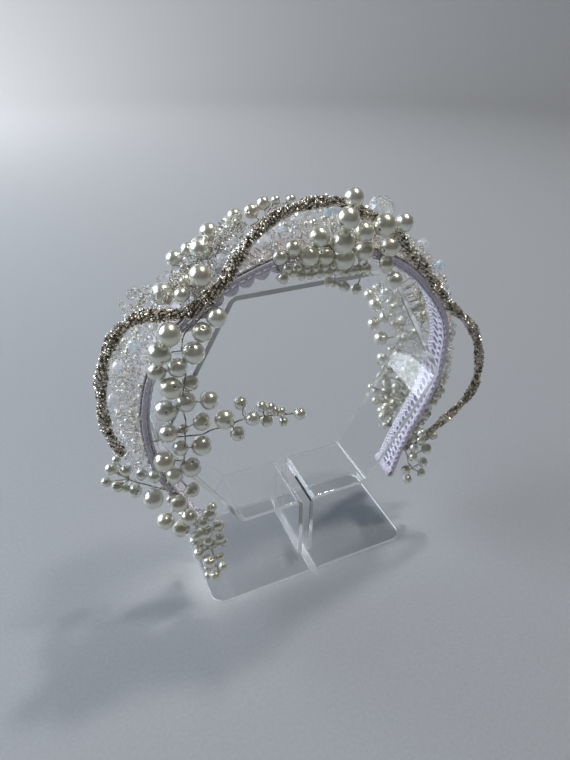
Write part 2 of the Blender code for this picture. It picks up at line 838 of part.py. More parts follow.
def push_off_hard_pieces(place, radius):
    centre = np.array((0.0, 0.0, RING_HEIGHT))
    local = place - centre
    angle = math.degrees(math.atan2(local[2], local[0]))
    angle = angle + 360 if angle < -90 else angle
    arc = min(max(angle, ARC_START), ARC_END)
    out = np.array((math.cos(math.radians(arc)), 0.0, math.sin(math.radians(arc))))
    reaches = (course_reach(angle, BRAID_FRONT), course_reach(angle, BRAID_BACK))
    low, high = min(reaches), max(reaches) + BAND_TOP
    local = push_off_slab(local, radius, out, low, high, BRAID_FRONT, BRAID_BACK)
    back, outer = bed_limits(angle)
    low = min(reaches) + BED_BOTTOM
    local = push_off_slab(local, radius, out, low, outer, BED_FRONT, back)
    side = math.radians(HEXAGON_TURN * (math.floor(angle / HEXAGON_TURN) + 0.5))
    flat = np.array((math.cos(side), 0.0, math.sin(side)))
    apothem = HEXAGON_REACH * math.cos(math.radians(HEXAGON_TURN / 2))
    low, high, half = apothem - SHEET / 2, apothem + SHEET / 2, STRIP_DEPTH / 2
    local = push_off_slab(local, radius, flat, low, high, -half, half)
    return local + centre


def settled_sprays():
    """Each spray's name with the settled places and sizes of its pearls, in millimetres."""
    names = [name for name, _, pearls in SPRAYS for _ in pearls]
    homes = np.array([ring_place(*row[:3]) for _, _, pearls in SPRAYS for row in pearls])
    radii = np.array([row[3] / 2 for _, _, pearls in SPRAYS for row in pearls])
    fixed = fixed_balls()
    fixed_places = np.array([ball[0] for ball in fixed])
    fixed_radii = np.array([ball[1] for ball in fixed])
    fixed_names = np.array([ball[2] for ball in fixed])
    places = homes.copy()
    for count in range(SETTLE_ROUNDS):
        if count < SETTLE_ROUNDS * 3 // 4:
            places += (homes - places) * PULL_BACK
        for one, name in enumerate(names):
            room = radii + radii[one] + np.where(np.array(names) == name, SAME_SPRAY_GAP, GAP)
            places[one] += push(places[one], places, room, one) / 2
            others = fixed_names != name
            room = fixed_radii[others] + radii[one] + GAP
            places[one] += push(places[one], fixed_places[others], room)
            places[one] = push_off_hard_pieces(places[one], radii[one])
    return [
        (name, [(places[i], radii[i] * 2) for i in range(len(names)) if names[i] == name])
        for name, _, _ in SPRAYS
    ]


def push(place, others, room, itself=None):
    """The move that takes a place out of the room of its nearest neighbours."""
    away = place - others
    distance = np.maximum(np.linalg.norm(away, axis=1), LEAST_DISTANCE)
    short = np.maximum(room - distance, 0.0)
    if itself is not None:
        short[itself] = 0.0
    return (away * (short / distance)[:, None]).sum(axis=0)


# Pearl sprays


def twig(place, size, route):
    """The wire from a pearl's middle to the nearest point of its stem, or none if the stem holds it."""
    distances = np.linalg.norm(route - place, axis=1)
    nearest = int(distances.argmin())
    if distances[nearest] < size / 2 - STEM_RADIUS:
        return []
    return [straight_wire(place, route[nearest], TWIG_RADIUS)]


def spray(name, stem, pearls, cutters):
    """A stem with its pearls and twigs, as one solid."""
    route = smooth_route([ring_place(*row) for row in stem], STEM_STEP)
    pieces = [wire(name, route, STEM_RADIUS)]
    for place, size in pearls:
        pieces.append(pearl(place, size))
        pieces += twig(place, size, route)
    return fused(name, pieces, cutters)


def build():
    clear_scene()
    parts = new_collection("pearl_headband")
    cutters = new_collection("cutters")
    looks = {row[0]: make_material(*row) for row in MATERIALS}
    carrier = bpy.data.objects.new("stand_middle", None)
    carrier.location = (STAND_X * MM, STAND_Y * MM, 0.0)
    parts.objects.link(carrier)

    finish(display_stand(cutters), looks["clear_acrylic"], parts, carrier)
    band = band_strip("band", BAND_BOTTOM, BAND_TOP, BAND_FRONT, BAND_BACK)
    finish(band, looks["band_metal"], parts, carrier)
    braid = band_strip("braid_lining", 0.0, BRAID_HEIGHT, BRAID_FRONT, BRAID_BACK)
    finish(braid, looks["lilac_braid"], parts, carrier)
    left = crystal_bed("crystal_bed_left", BED_LEFT, STONES_LEFT, cutters)
    finish(left, looks["clear_crystal"], parts, carrier)
    right = crystal_bed("crystal_bed_right", BED_RIGHT, STONES_RIGHT, cutters)
    finish(right, looks["clear_crystal"], parts, carrier)
    finish(bead_rope(), looks["smoky_gold_beads"], parts, carrier)
    angle, reach, depth, size = CROWN_CRYSTAL
    crystal = cut_stone("crown_crystal", ring_place(angle, reach, depth), size, CRYSTAL_SIDES)
    finish(crystal, looks["clear_crystal"], parts, carrier)
    stems = {name: stem for name, stem, _ in SPRAYS}
    for name, pearls in settled_sprays():
        finish(spray(name, stems[name], pearls, cutters), looks["ivory_pearl"], parts, carrier)


build()
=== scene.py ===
"""The looks of a pearl bridal headband on its clear display stand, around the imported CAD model.

The charts of the solids repeat part.py's. A chart gives a place in millimetres by its angle round
the ring's centre (0 at +X, 90 at the top), its reach from that centre in the XZ plane, and its depth
along Y, all from the middle of the stand.
"""

import math

import bmesh
import bpy
import numpy as np
from mathutils import Matrix, Vector


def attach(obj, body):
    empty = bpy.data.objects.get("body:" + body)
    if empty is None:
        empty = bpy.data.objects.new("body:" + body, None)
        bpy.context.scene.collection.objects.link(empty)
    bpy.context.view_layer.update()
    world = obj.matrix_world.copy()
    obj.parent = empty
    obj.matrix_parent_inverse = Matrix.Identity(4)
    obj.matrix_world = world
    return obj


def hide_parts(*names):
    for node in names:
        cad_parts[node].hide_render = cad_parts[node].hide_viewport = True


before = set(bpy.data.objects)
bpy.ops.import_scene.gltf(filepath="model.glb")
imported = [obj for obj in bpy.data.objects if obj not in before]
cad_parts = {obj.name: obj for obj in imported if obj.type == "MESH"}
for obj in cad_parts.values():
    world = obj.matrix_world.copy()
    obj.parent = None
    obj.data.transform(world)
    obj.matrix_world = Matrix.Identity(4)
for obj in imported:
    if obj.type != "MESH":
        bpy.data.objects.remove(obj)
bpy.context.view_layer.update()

MM = 0.001
BODY = "root"

# The stand's middle in the row frame
STAND_X = -3.4
STAND_Y = 6.4
MIDDLE = np.array((STAND_X, STAND_Y, 0.0))

# Camera, in millimetres from the stand's middle, and turned in degrees
CAMERA_PLACE = (-85.308, -179.316, 232.033)
CAMERA_YAW = -24.066
CAMERA_PITCH = 34.323
CAMERA_ROLL = 0.627
LENS = 26.63
SENSOR = 36.0

# Display stand
SHEET = 2.0
HEXAGON_REACH = 63.0
HEXAGON_TURN = 60.0
RING_HEIGHT = 92.9
STRIP_DEPTH = 30.0
BEND_RADIUS = 3.0
BEND_STEPS = 12
NECK_X = 2.7
FOOT_REACH = 50.5
FOOT_DEPTH = 51.0
FOOT_CORNER = 6.0
CORNER_STEPS = 16
EDGE_ROUNDING = 0.25
ROUNDED_ANGLE = 40.0

# How far the cut edges of the strip and of the feet are made whitish and less clear, from 0 to 1: a painted
# highlight for the light that clear edges catch
STRIP_EDGE_HIGHLIGHT = 0.5
FOOT_EDGE_HIGHLIGHT = 1.0

# Band and its lining
ARC_START = -20.0
ARC_END = 200.0
LEG_LENGTH = 38.0
LEG_REACH = 64.0
BRAID_START = ARC_START - math.degrees(LEG_LENGTH / LEG_REACH)
BRAID_LENGTH = 2 * LEG_LENGTH + math.radians(ARC_END - ARC_START) * LEG_REACH
BRAID_HEIGHT = 2.0
BRAID_FRONT = -13.2
BRAID_BACK = 0.4
BAND_BOTTOM = 2.4
BAND_TOP = 3.4
BAND_FRONT = -12.4
BAND_BACK = -0.4
BAND_CORNER = 0.4
PADDING = 0.5
PADDING_INSET = 0.3
BAND_STEP = 2.5

# Wire wound over the band
WRAP_PITCH = 2.6
WRAP_GAUGE = 0.16
WRAP_LIFT = 0.6

# The braid's ground and its cords
BRAID_GROUND = 0.95
GROUND_CORNER = 0.35
GROUND_INSET = 0.7
GROUND_STEP = 2.0
CORD = 0.33
SCROLL_PITCH = 3.1
SCROLL_STEPS = 20
SCROLL_LEAN = 0.3
SCROLL_LIFT = 0.5
KNIT_CORD = 0.34
KNIT_PITCH = 1.7
KNIT_STEP = 0.35
KNIT_LIFT = 0.3
KNIT_SWING = 0.36
EDGE_CORD = 0.36
EDGE_STEPS = 10
EDGE_INSET = 0.9
EDGE_START = 0.8
PICOT_PITCH = 3.1
SCALLOP_PITCH = 6.0
SCALLOP_ANGLES = (100.0, 142.0)
ROLL_CORDS = 12
ROLL_STEPS = 16
ROLL_CORD = 0.6
ROLL_LENGTH = 1.9
ROLL_HEIGHT = 1.35
ROLL_MIDDLE = 0.8
ROLL_INSET = 1.2

# Columns: depth of the middle, half its width, curl of each row of scrolls
SCROLLS = ((-10.3, 1.5, 1.0), (-5.9, 2.5, -1.1))
# Columns: depth, height, phase of each knitted cord
KNITTED = ((-2.9, 0.62, 0.0), (-2.1, 0.3, 1.6), (-1.2, 0.62, 3.1), (-8.35, 0.5, 0.0))
# Columns: depth, bulge, height, drop, pitch of each cord along the edges
EDGES = (
    (BRAID_FRONT + EDGE_INSET, -0.9, 0.5, 0.2, PICOT_PITCH),
    (BRAID_FRONT + EDGE_INSET + 0.1, -0.8, 1.3, -0.3, PICOT_PITCH),
    (BRAID_FRONT + EDGE_INSET, -0.6, 2.0, -0.3, KNIT_PITCH),
    (BAND_FRONT - 0.35, -0.3, 2.7, -0.2, KNIT_PITCH),
    (BRAID_BACK - EDGE_INSET, 0.8, 0.9, 0.3, PICOT_PITCH),
    (BRAID_BACK - EDGE_INSET, 0.5, 0.4, -0.3, KNIT_PITCH),
)
# Columns: bulge, drop of the cords nested in each large scallop
SCALLOPS = ((-1.0, 2.2), (-0.8, 1.6), (-0.6, 1.0), (-0.3, 0.5))
SCALLOP_DEPTH = BRAID_FRONT + EDGE_INSET - 0.2
SCALLOP_HEIGHT = 0.7

# Crystal bed
BED_BOTTOM = 4.3
BED_FRONT = -11.0
BED_CROWN = 0.8
BED_MIDDLE = 73.0
BEAD_SPACING = 2.0
OUTER_GAPS = 0.55
BED_SIZES = (1.3, 1.7, 2.2, 3.0)
BED_SHARES = (0.34, 0.36, 0.22, 0.08)
SEED_PEARL_SHARE = 0.14
SEED_PEARL_HOLE = 0.16
END_PEARL_ANGLE = -8.0
END_PEARL_SHARE = 0.45
END_PEARL_GROWTH = 1.2
STONE_SINK = 0.6
STONE_SCALE = 0.86
ROOT_GAUGE = 0.13

# Clouds of wired beads
CLOUD_SIZES = (1.3, 1.8, 2.5, 3.4)
CLOUD_SHARES = (0.4, 0.34, 0.18, 0.08)
LOOP_SHARE = 0.4
LOOP_GAUGE = 0.12

# Gaps that neighbours keep while the pearls settle, as in part.py
STEM_RADIUS = 0.7
GAP = 0.45
SAME_SPRAY_GAP = 0.1
SETTLE_ROUNDS = 400
PULL_BACK = 0.02
FIXED_STEP = 2.0
LEAST_DISTANCE = 0.000001
LEAST_LENGTH = 1e-9

# Fine wires of the sprays
TWIST_PITCH = 2.0
TWIST_STEP = 0.45
STEM_GAUGE = 0.18
TWIG_GAUGE = 0.14
SPARE_GAUGE = 0.1
CRADLE_GAUGE = 0.11
CRADLE_LIFT = 0.22
TWIG_BEND = 0.05
SPARE_BEND = 0.16
LEAST_TWIG = 0.8
SWAY = 0.7
FIRST_SPRAY_SEED = 40

# Pearls, with their hole as a share of their radius, and the crown bead
PEARL_HOLE = 0.13
LARGE_PEARL = 4.8
MOST_SHARED = 0.5
CROWN_BEAD_GROWTH = 1.14

# Bead rope
ROPE_PITCH = 17.0
ROPE_LOBE = 0.16
ROPE_CORE = 0.62
SEED_SIZE = 1.2
SEED_STEP = 0.95
SEED_SINK = 0.3
ROPE_BEADS_ROUND = 10
ROPE_SEED = 7

# Stage in metres: a floor that curves up into a wall round the far side of the object
SWEEP_FLOOR = 1.5
SWEEP_CURVE = 1.0
SWEEP_TOP = 2.4
SWEEP_MIDDLE_ANGLE = 70.0
SWEEP_HALF_ANGLE = 100.0
SWEEP_FADE = 35.0
FLOOR_BEYOND = 9.0
CURVE_STEPS = 16
SWEEP_SIDES = 96

# Lights, with places in metres
# Columns: name, place, target, width, height, power, colour, seen in gloss, spread
LIGHTS = (
    ("window", (-0.78, 0.44, 0.59), (0, 0, 0.09), 0.86, 0.71, 10.8, (0.81, 0.905, 1), True, 180),
    ("front_lamp", (0.58, -0.17, 1.67), (0, 0, 0.09), 0.1, 0.22, 6.0, (1, 0.95, 0.9), True, 180),
    ("back_lamp", (0.62, 0.31, 1.7), (0, 0, 0.09), 0.12, 0.12, 9.5, (1, 0.96, 0.9), True, 180),
    ("ceiling", (0.1, -0.2, 1.98), (0, 0, 0), 1.6, 1.6, 0.5, (0.95, 0.97, 1), False, 180),
    ("far_glow", (-0.85, 1.2, 0.8), (0.35, 2.2, 0.2), 0.5, 0.5, 33.0, (1, 0.985, 0.955), False, 163),
    ("front_fill", (-0.5, -1.5, 0.55), (0, 0, 0.1), 1.4, 1.0, 5.8, (0.92, 0.96, 1), False, 180),
)
AMBIENT = (0.055, 0.053, 0.046)

# Sockets of the Mix node that carry colours
MIX_FIRST = 6
MIX_SECOND = 7
MIX_RESULT = 2

# The inner face of the lining, which lies on the stand's corners and bulges between them.
# Columns: angle, reach at the front edge, reach at the back edge
COURSE = (
    (-54, 62.6, 64.4), (-40, 60.9, 63.8), (-30, 60.8, 64.6), (-20, 61.6, 65.4), (-10, 63, 66.2),
    (0, 64.3, 67), (8, 65, 68.2), (15, 66.2, 68.6), (23, 66.6, 68.5), (31, 65.6, 68),
    (40, 64.9, 67.2), (48, 64.8, 66.8), (60, 64.4, 65.6), (75, 64.1, 64.5), (90, 63.7, 64),
    (105, 63.8, 64), (112, 64, 64.1), (120, 64.6, 64.6), (128, 65.3, 65.3), (136, 66, 66),
    (150, 66.8, 66.8), (158, 66.5, 66.5), (168, 65.7, 65.7), (176, 64.9, 64.9), (185, 64.2, 64.2),
    (200, 64, 64), (234, 64, 64),
)

# Columns: angle, depth of the back, outer reach
BED_LEFT = (
    (196, 8, 73), (188, 12, 76), (180, 13, 77), (172, 13, 76.5), (164, 12, 77.5), (156, 13, 77),
    (148, 12, 76), (141, 7, 74), (134, 4, 72.5), (125, 4, 72), (116, 4, 72.5), (107, 4, 72),
    (100, 5, 73), (95.7, 7, 74),
)
BED_RIGHT = (
    (95.2, 7, 74), (88, 10, 75.5), (80, 12, 76), (72, 13, 76), (63, 13, 77), (54, 12, 78),
    (45, 13, 77.5), (36, 13, 78), (27, 12, 77), (18, 13, 76.5), (9, 13, 77), (0, 12, 76),
    (-10, 13, 76.5), (-20, 13, 75.5), (-31, 12, 75), (-41, 9, 73),
)

# Columns: angle, reach, depth, size of the large stones on the bed
STONES_LEFT = (
    (191, 75.5, -4, 5), (185, 77.5, 4, 5), (180, 78, -5, 6), (175, 77.5, 9, 5),
    (170, 77.5, 0, 5.5), (165.5, 78, -6, 5), (162, 78.5, 6, 6), (157, 78, -2, 5),
    (152.5, 77.5, 8, 5.5), (149, 77, -6, 5), (144.5, 75.5, 1, 5.5), (139.5, 75, -6, 5),
    (127, 73.5, -8, 4.5), (116, 74, -7, 4.5), (111, 73.5, -8, 4.5), (104, 73.8, -8.6, 6.5),
    (98.5, 75, -6, 5),
)
STONES_RIGHT = (
    (92, 76, -2, 5), (88, 77, 4, 6), (83, 76.5, -3, 5), (77, 77, 5, 5.5), (71, 77, -2, 5),
    (66, 77.5, 7, 6), (60, 78.5, -3, 5.5), (54, 79, 5, 5), (48.5, 79, -5, 6), (43, 79, 3, 5.5),
    (37, 79.5, -4, 5), (31.5, 78.5, 6, 6), (25, 78, -3, 5.5), (19, 77.5, 5, 5), (12, 78, -5, 5.5),
    (6, 78, 4, 6), (-1, 77.5, -4, 5), (-8, 77.5, 3, 5.5), (-15, 77, -5, 6), (-22, 76, 4, 5),
    (-29, 76, -3, 5.5), (-37, 74.5, 4, 5),
)

# Columns: angle, reach, depth, thickness
ROPE = (
    (180, 76.5, -13.8, 3.6), (176, 78.5, -14, 4.2), (172, 80.5, -14, 4.5), (166, 82.5, -14, 4.6),
    (159, 84.6, -14, 4.6), (153, 86, -14, 4.8), (148, 86.5, -14, 4.6), (143, 85.5, -14, 4.6),
    (139, 82, -14.2, 4.8), (136, 76.5, -14.6, 5), (133, 71.8, -15.2, 5.2), (129, 70, -15.6, 5.4),
    (123, 70, -15.8, 5.6), (118, 71, -15.4, 5.4), (114, 74, -14.8, 5.2), (109, 77.5, -14.4, 5),
    (105, 80, -14.2, 4.8), (100, 82, -14.2, 4.6), (95, 83, -14, 4.6), (90, 83.4, -14, 4.4),
    (84, 82.6, -13.6, 4.4), (78, 79.8, -13.6, 4.4), (71, 77.6, -13.9, 4.4), (64, 75.2, -14.2, 4.6),
    (59, 72.5, -14.4, 4.8), (51, 70.8, -14.6, 4.8), (41, 69.5, -14.8, 4.8), (33, 70, -14.6, 4.8),
    (25, 73, -14.2, 4.6), (18, 78, -14, 4.6), (11, 82.5, -14, 4.8), (3, 86, -14, 4.8),
    (-3, 88, -14, 4.6), (-9, 89, -14, 4.6), (-14, 87, -14, 4.4), (-19, 82.6, -14, 4.4),
    (-24, 78, -14.2, 4.2), (-29, 74, -14.6, 4), (-34, 72.3, -14.8, 3.6),
)

# Columns: angle, reach, depth, size. Each stem starts where it is bound to the band or its bed.
FRONT_GARLAND_STEM = (
    (126, 65.6, -14.4), (128.5, 65.8, -15.2), (133, 66.5, -15.5), (137.5, 67.2, -15.8),
    (141, 65.5, -17.8), (147, 61, -19.2), (156, 58.3, -20.4), (166, 55.5, -20.8), (175, 54.4, -21),
    (184, 55.8, -20.6), (191.5, 59, -18.5), (195.3, 62.6, -16.3), (198.5, 66.9, -13.7),
)
FRONT_GARLAND = (
    (127.5, 65, -17, 7), (133.6, 63.8, -18.5, 7), (138.4, 74, -18.8, 8), (140.2, 62.2, -19.5, 8),
    (144.3, 72.3, -18.8, 8), (146.8, 64, -19, 7), (151, 68.5, -18, 6.5), (151, 56.8, -18.8, 6),
    (153.4, 64, -20, 8), (156.8, 47.4, -19.3, 7), (159, 56.6, -19.5, 7.5), (162, 62.6, -20, 8),
    (168, 48.2, -19.3, 7), (172, 60.4, -19.3, 7), (180.5, 48.2, -20, 8), (180, 56, -19, 6),
    (183.3, 62.8, -20, 8), (190.5, 54, -20, 8), (192, 61, -19, 6.5), (203, 58, -19, 6),
    (196.7, 72, -20, 8),
)
LEFT_END_STEM = (
    (204, 67.2, -13.5), (212, 69, -15.5), (220, 69.5, -20), (225, 71.5, -24), (229, 75, -28),
    (232, 79, -31),
)
LEFT_END = (
    (204.5, 65.5, -20, 7), (208, 74.5, -19.5, 7), (212, 66.5, -21, 7), (214.6, 73, -20, 7),
    (218.5, 61, -20, 6), (221, 67.5, -23, 6.5), (222.5, 75, -21, 5), (225.5, 63, -22, 5),
    (227, 72, -23.5, 5), (224, 76.5, -25.5, 5), (227.5, 76.5, -28.5, 6), (231.5, 81, -31, 4.5),
)
OUTER_SPRIG_STEM = (
    (201.5, 67.2, -13.5), (196, 71.5, -13.6), (190, 77, -13.8),
)
OUTER_SPRIG = (
    (184, 81.8, -14, 4.5), (190.5, 82, -14, 4.5), (185.5, 76.8, -15, 4.5), (194.5, 77, -14.5, 5.4),
    (189, 72, -15, 4.5),
)
INNER_SPRIG_STEM = (
    (178, 72, -12.2), (177, 70, -15), (176.5, 67, -16.7), (175.5, 58, -17.6), (174.8, 49, -19.5),
    (168, 41.5, -24), (161, 36.5, -26.5), (152, 29, -30), (137, 23, -35),
)
INNER_SPRIG = (
    (163, 41.6, -24, 7.5), (151.5, 38.5, -25, 5), (171.5, 36, -25.5, 6), (156, 34, -29.5, 5.5),
    (157, 27.5, -29, 5), (134, 22, -36, 4.5),
)
BACK_GARLAND_STEM = (
    (134, 74.4, -5), (128, 74.3, 0), (119, 74.3, 2), (108, 74.3, 2), (99, 75.5, 3),
)
BACK_GARLAND = (
    (133, 78.5, -8, 7.6), (129.5, 76.5, -14.5, 5), (123, 77.5, -15.5, 7.5), (125.5, 77.5, 6, 6.4),
    (121.5, 77.5, 5, 5.4), (118, 74, 9, 7.2), (114.5, 78, 5.5, 7), (108, 75, 9, 7.2),
    (107, 79.5, 4, 5.4), (102, 78, 6, 5.4), (98.5, 79.5, 6, 4.7),
)
CROWN_STEM = (
    (103, 67, -13.5), (94, 66.9, -13.5), (84, 67, -13.5), (74, 67.3, -13.5), (64, 67.6, -13.5),
)
CROWN_CLUSTER = (
    (102.5, 69, -16.6, 5), (98, 70.5, -16.8, 5.5), (93, 67, -17.6, 7), (88.8, 65.6, -17.4, 6),
    (90.8, 72.8, -17.5, 7), (85, 72.8, -21, 8), (82.8, 64.6, -18, 8), (84.6, 79.5, -21, 8),
    (83.2, 84.5, -18, 6.5), (77.5, 75, -19.5, 7), (73.8, 77.8, -20.5, 8), (67, 80.5, -19, 6.5),
    (76, 67.8, -18.5, 7), (68, 71, -19, 7), (66, 64.6, -18, 6), (59.5, 60.5, -18.6, 6),
)
CROWN_CRYSTAL = (69.5, 81.0, -8.0, 9.0)
RIGHT_GARLAND_STEM = (
    (40, 72.6, 14.1), (25, 73.8, 14.1), (10, 74, 14.1), (-5, 72.6, 14.1), (-20, 71.2, 14.1),
    (-35, 72.3, 14.1),
)
RIGHT_GARLAND = (
    (32, 52, 18, 5), (27, 60.5, 18, 5), (23.5, 53.5, 19, 7), (20.5, 62, 18.4, 5.6),
    (13, 50, 18.7, 6), (14, 56.5, 18.7, 6), (8.5, 62.5, 18, 5), (2, 54, 19, 7), (0, 66.4, 18, 5),
    (351, 56, 18, 5), (340, 60, 18, 5), (337, 66, 18, 5), (327.5, 65.5, 18, 4.5),
    (330, 73, 18, 5.5), (324, 74, 18, 5), (19, 74.5, 16.4, 5.2), (14, 75, 16.4, 5.3),
    (8.5, 75.5, 16.5, 5.8),
)
RIGHT_END_STEM = (
    (-39, 68, -13.5), (-42, 76, -13.6), (-44, 82, -14),
)
RIGHT_END = (
    (325, 80, -14.5, 5.5), (320, 85, -14.5, 5), (314.5, 78.5, -14.5, 4.5), (316.5, 90, -14.5, 4.6),
    (312, 85.4, -14.5, 4.6), (320.5, 73.5, -16.2, 4.5),
)

SPRAYS = (
    ("front_garland", FRONT_GARLAND_STEM, FRONT_GARLAND),
    ("left_end_spray", LEFT_END_STEM, LEFT_END),
    ("outer_sprig", OUTER_SPRIG_STEM, OUTER_SPRIG),
    ("inner_sprig", INNER_SPRIG_STEM, INNER_SPRIG),
    ("back_garland", BACK_GARLAND_STEM, BACK_GARLAND),
    ("crown_cluster", CROWN_STEM, CROWN_CLUSTER),
    ("right_garland", RIGHT_GARLAND_STEM, RIGHT_GARLAND),
    ("right_end_spray", RIGHT_END_STEM, RIGHT_END),
)

# Pearls that only the looks have, on the sprays named, nearly all of them small.
# Columns: angle, reach, depth, size
EXTRA_PEARLS = {
    "front_garland": (
        (172, 54.5, -17.8, 4), (190, 68, -17.5, 5),
    ),
    "left_end_spray": (
        (226, 77, -20, 4.6), (231, 69.5, -23, 4), (235.4, 80, -26, 3.8), (231, 84, -28.5, 3.6),
        (203.6, 67.6, -17, 4.2), (202.3, 59.5, -20, 4.4), (211.8, 68.3, -17.5, 4),
        (216.8, 57.9, -20, 4.2), (217.1, 64.5, -23, 4.4), (223.4, 62.4, -23, 4.2),
        (218.6, 70.6, -24, 4), (223.6, 69.9, -25, 3.8), (227, 66.6, -25, 4),
        (230.2, 73.2, -28, 3.6), (228.5, 79.7, -29, 3.6),
    ),
    "outer_sprig": (
        (181.5, 79, -14, 3.4), (187.5, 85, -14, 3.6), (187, 79.8, -12, 3), (193, 79.8, -13, 3.2),
    ),
    "inner_sprig": (
        (147, 32.7, -29, 4), (145, 29.8, -30, 4), (145.3, 28.1, -31, 3.6), (143, 26.2, -32, 3.6),
        (151.7, 22.6, -32, 3.6),
    ),
    "back_garland": (
        (119, 77.6, -0.5, 7.2), (127, 74.8, -6, 4.6), (95, 79.5, 6, 3.3), (91, 79, 5, 3.7),
    ),
    "crown_cluster": (
        (103, 61.2, -16.5, 4), (99.3, 62, -16.5, 3.6), (96.5, 60.1, -16.5, 4),
        (93.4, 59.3, -16.5, 3.6), (89.8, 59.5, -16.5, 4), (86.6, 59.1, -16.5, 3.6),
        (83.4, 59.7, -16.5, 4), (79.9, 58.9, -16.5, 3.6), (77.1, 59.6, -16.5, 4),
        (74.6, 60.2, -16.5, 3.6), (71.6, 60.9, -16.5, 4), (100.6, 63.8, -16, 3.6),
        (97.4, 63.2, -16, 3.6), (94.5, 61.8, -16, 3.6), (91.3, 61.4, -16, 3.6),
        (88, 61.2, -16, 3.6), (84.9, 61.3, -16, 3.6), (81.6, 61, -16, 3.6),
        (82.2, 53.9, -14.5, 3.4), (76.7, 52.4, -14.5, 3.8), (71.1, 52.1, -14.5, 4.2),
        (85, 54.6, -15, 3.6), (78.5, 53, -15, 3.8),
    ),
    "right_garland": (
        (13.5, 58.2, 18, 4.4), (10.7, 66.3, 17, 3.4), (2.4, 70.2, 17, 3.8), (3, 72.7, 16.5, 3.4),
        (1.7, 68, 17.5, 3.2), (13.6, 61.6, 18, 3.2), (17.5, 74.6, 17.5, 4.6),
        (8.4, 75.7, 17.5, 4.4), (9.4, 62.1, 17.5, 3.4), (4.9, 65.1, 17.5, 3.2),
        (-4.8, 60.5, 18, 3.6), (-7.9, 65, 18, 3.4), (-3.4, 67, 17.5, 3), (-20.6, 60, 18.5, 4),
        (-28.3, 62.2, 18.5, 3.4), (-26.6, 57.4, 18.5, 3.6), (-26.9, 68, 18, 4.4),
        (-31.7, 70.8, 18, 4.2), (-36.4, 79, 17.5, 4.4), (-29.4, 76.1, 17, 3.6),
        (-25.6, 71, 17.5, 4.2), (-19.4, 71.7, 17, 3.4), (-32.8, 78.3, 17, 3.4),
        (-14.6, 59.4, 18, 3.2), (-16.5, 63.1, 17.5, 3.4), (19.4, 65.8, 17, 3.4),
        (18, 60.8, 17.5, 3.2), (25.2, 59.1, 18, 4), (29.1, 59.4, 18, 4.2), (25, 64.8, 16.5, 3),
        (13.1, 68.4, 16.5, 3),
    ),
    "right_end_spray": (
        (324, 70, -15.6, 4.4), (328, 70.5, -15.6, 4.4), (331, 77, -15.6, 4.4),
        (331, 68, -15.8, 4.3),
    ),
}

# Columns: angle, reach, depth of the middle of each cloud of wired beads
LEFT_SHOULDER = (
    (143, 80, -9), (139, 83, -8), (134.5, 82, -8), (130, 77.5, -9), (126, 74, -10), (121, 73, -10),
)
LEFT_TOP = (
    (128, 76.4, -4), (124.8, 75.8, -2.5), (120.7, 75.4, -1.5), (116, 76, -1.5), (111.5, 77.4, -2),
    (107, 79, -1),
)
RIGHT_INSIDE = (
    (32, 60, 19), (20, 66, 19), (8, 68, 19), (-4, 66, 19), (-14, 63.5, 19), (-23, 64.5, 19),
    (-31, 70, 19),
)

# Columns: name, chart, stones, seed of the draws
BEDS = (
    ("crystal_bed_left", BED_LEFT, STONES_LEFT, 21),
    ("crystal_bed_right", BED_RIGHT, STONES_RIGHT, 22),
)

# Columns: name, chart, count, scatter across, in depth and upward, seed of the draws
CLOUDS = (
    ("left_shoulder_beads", LEFT_SHOULDER, 170, (2.1, 2.1, 2.1), 31),
    ("left_top_beads", LEFT_TOP, 150, (1.9, 1.9, 1.9), 33),
    ("right_inner_beads", RIGHT_INSIDE, 170, (3.2, 1.0, 2.6), 32),
)


# Places


def ring_place(angle, reach, depth):
    """Millimetres from the stand's middle, for a charted place."""
    turn = math.radians(angle)
    return np.array((reach * math.cos(turn), depth, RING_HEIGHT + reach * math.sin(turn)))


def band_place(angle, reach, depth):
    """Like ring_place, but past the arc's ends the band runs straight on."""
    arc = min(max(angle, ARC_START), ARC_END)
    turn = math.radians(arc)
    run = math.radians(angle - arc) * LEG_REACH
    along = np.array((-math.sin(turn), 0.0, math.cos(turn)))
    return ring_place(arc, reach, depth) + run * along


def smooth_route(rows, step):
    """Points about a step apart on a smooth curve through the rows, whatever their columns."""
    rows = [np.array(row, float) for row in rows]
    rows = [2 * rows[0] - rows[1], *rows, 2 * rows[-1] - rows[-2]]
    route = []
    for before, start, end, after in zip(rows, rows[1:], rows[2:], rows[3:]):
        count = max(1, round(float(np.linalg.norm((end - start)[:3])) / step))
        for share in np.arange(count) / count:
            slope = (end - before) * share + (before * 2 - start * 5 + end * 4 - after) * share**2
            bend = (start * 3 - before - end * 3 + after) * share**3
            route.append(start + (slope + bend) / 2)
    route.append(rows[-2])
    return np.array(route)


def course_reach(angle, depth):
    """Reach of the lining's inner face at a depth, and straight on past its edges."""
    rows = np.array(COURSE)
    front = float(np.interp(angle, rows[:, 0], rows[:, 1]))
    back = float(np.interp(angle, rows[:, 0], rows[:, 2]))
    share = min(max((depth - BRAID_FRONT) / (BRAID_BACK - BRAID_FRONT), 0.0), 1.0)
    return front + (back - front) * share


def over_band(angle, height, depth):
    """A place at a height over the course of the lining's inner face."""
    return band_place(angle, course_reach(angle, depth) + height, depth)


def rope_rows():
    return [(*ring_place(angle, reach, depth), size) for angle, reach, depth, size in ROPE]


def unit(vector):
    return vector / max(float(np.linalg.norm(vector)), LEAST_LENGTH)


# Settling the pearls, as part.py does


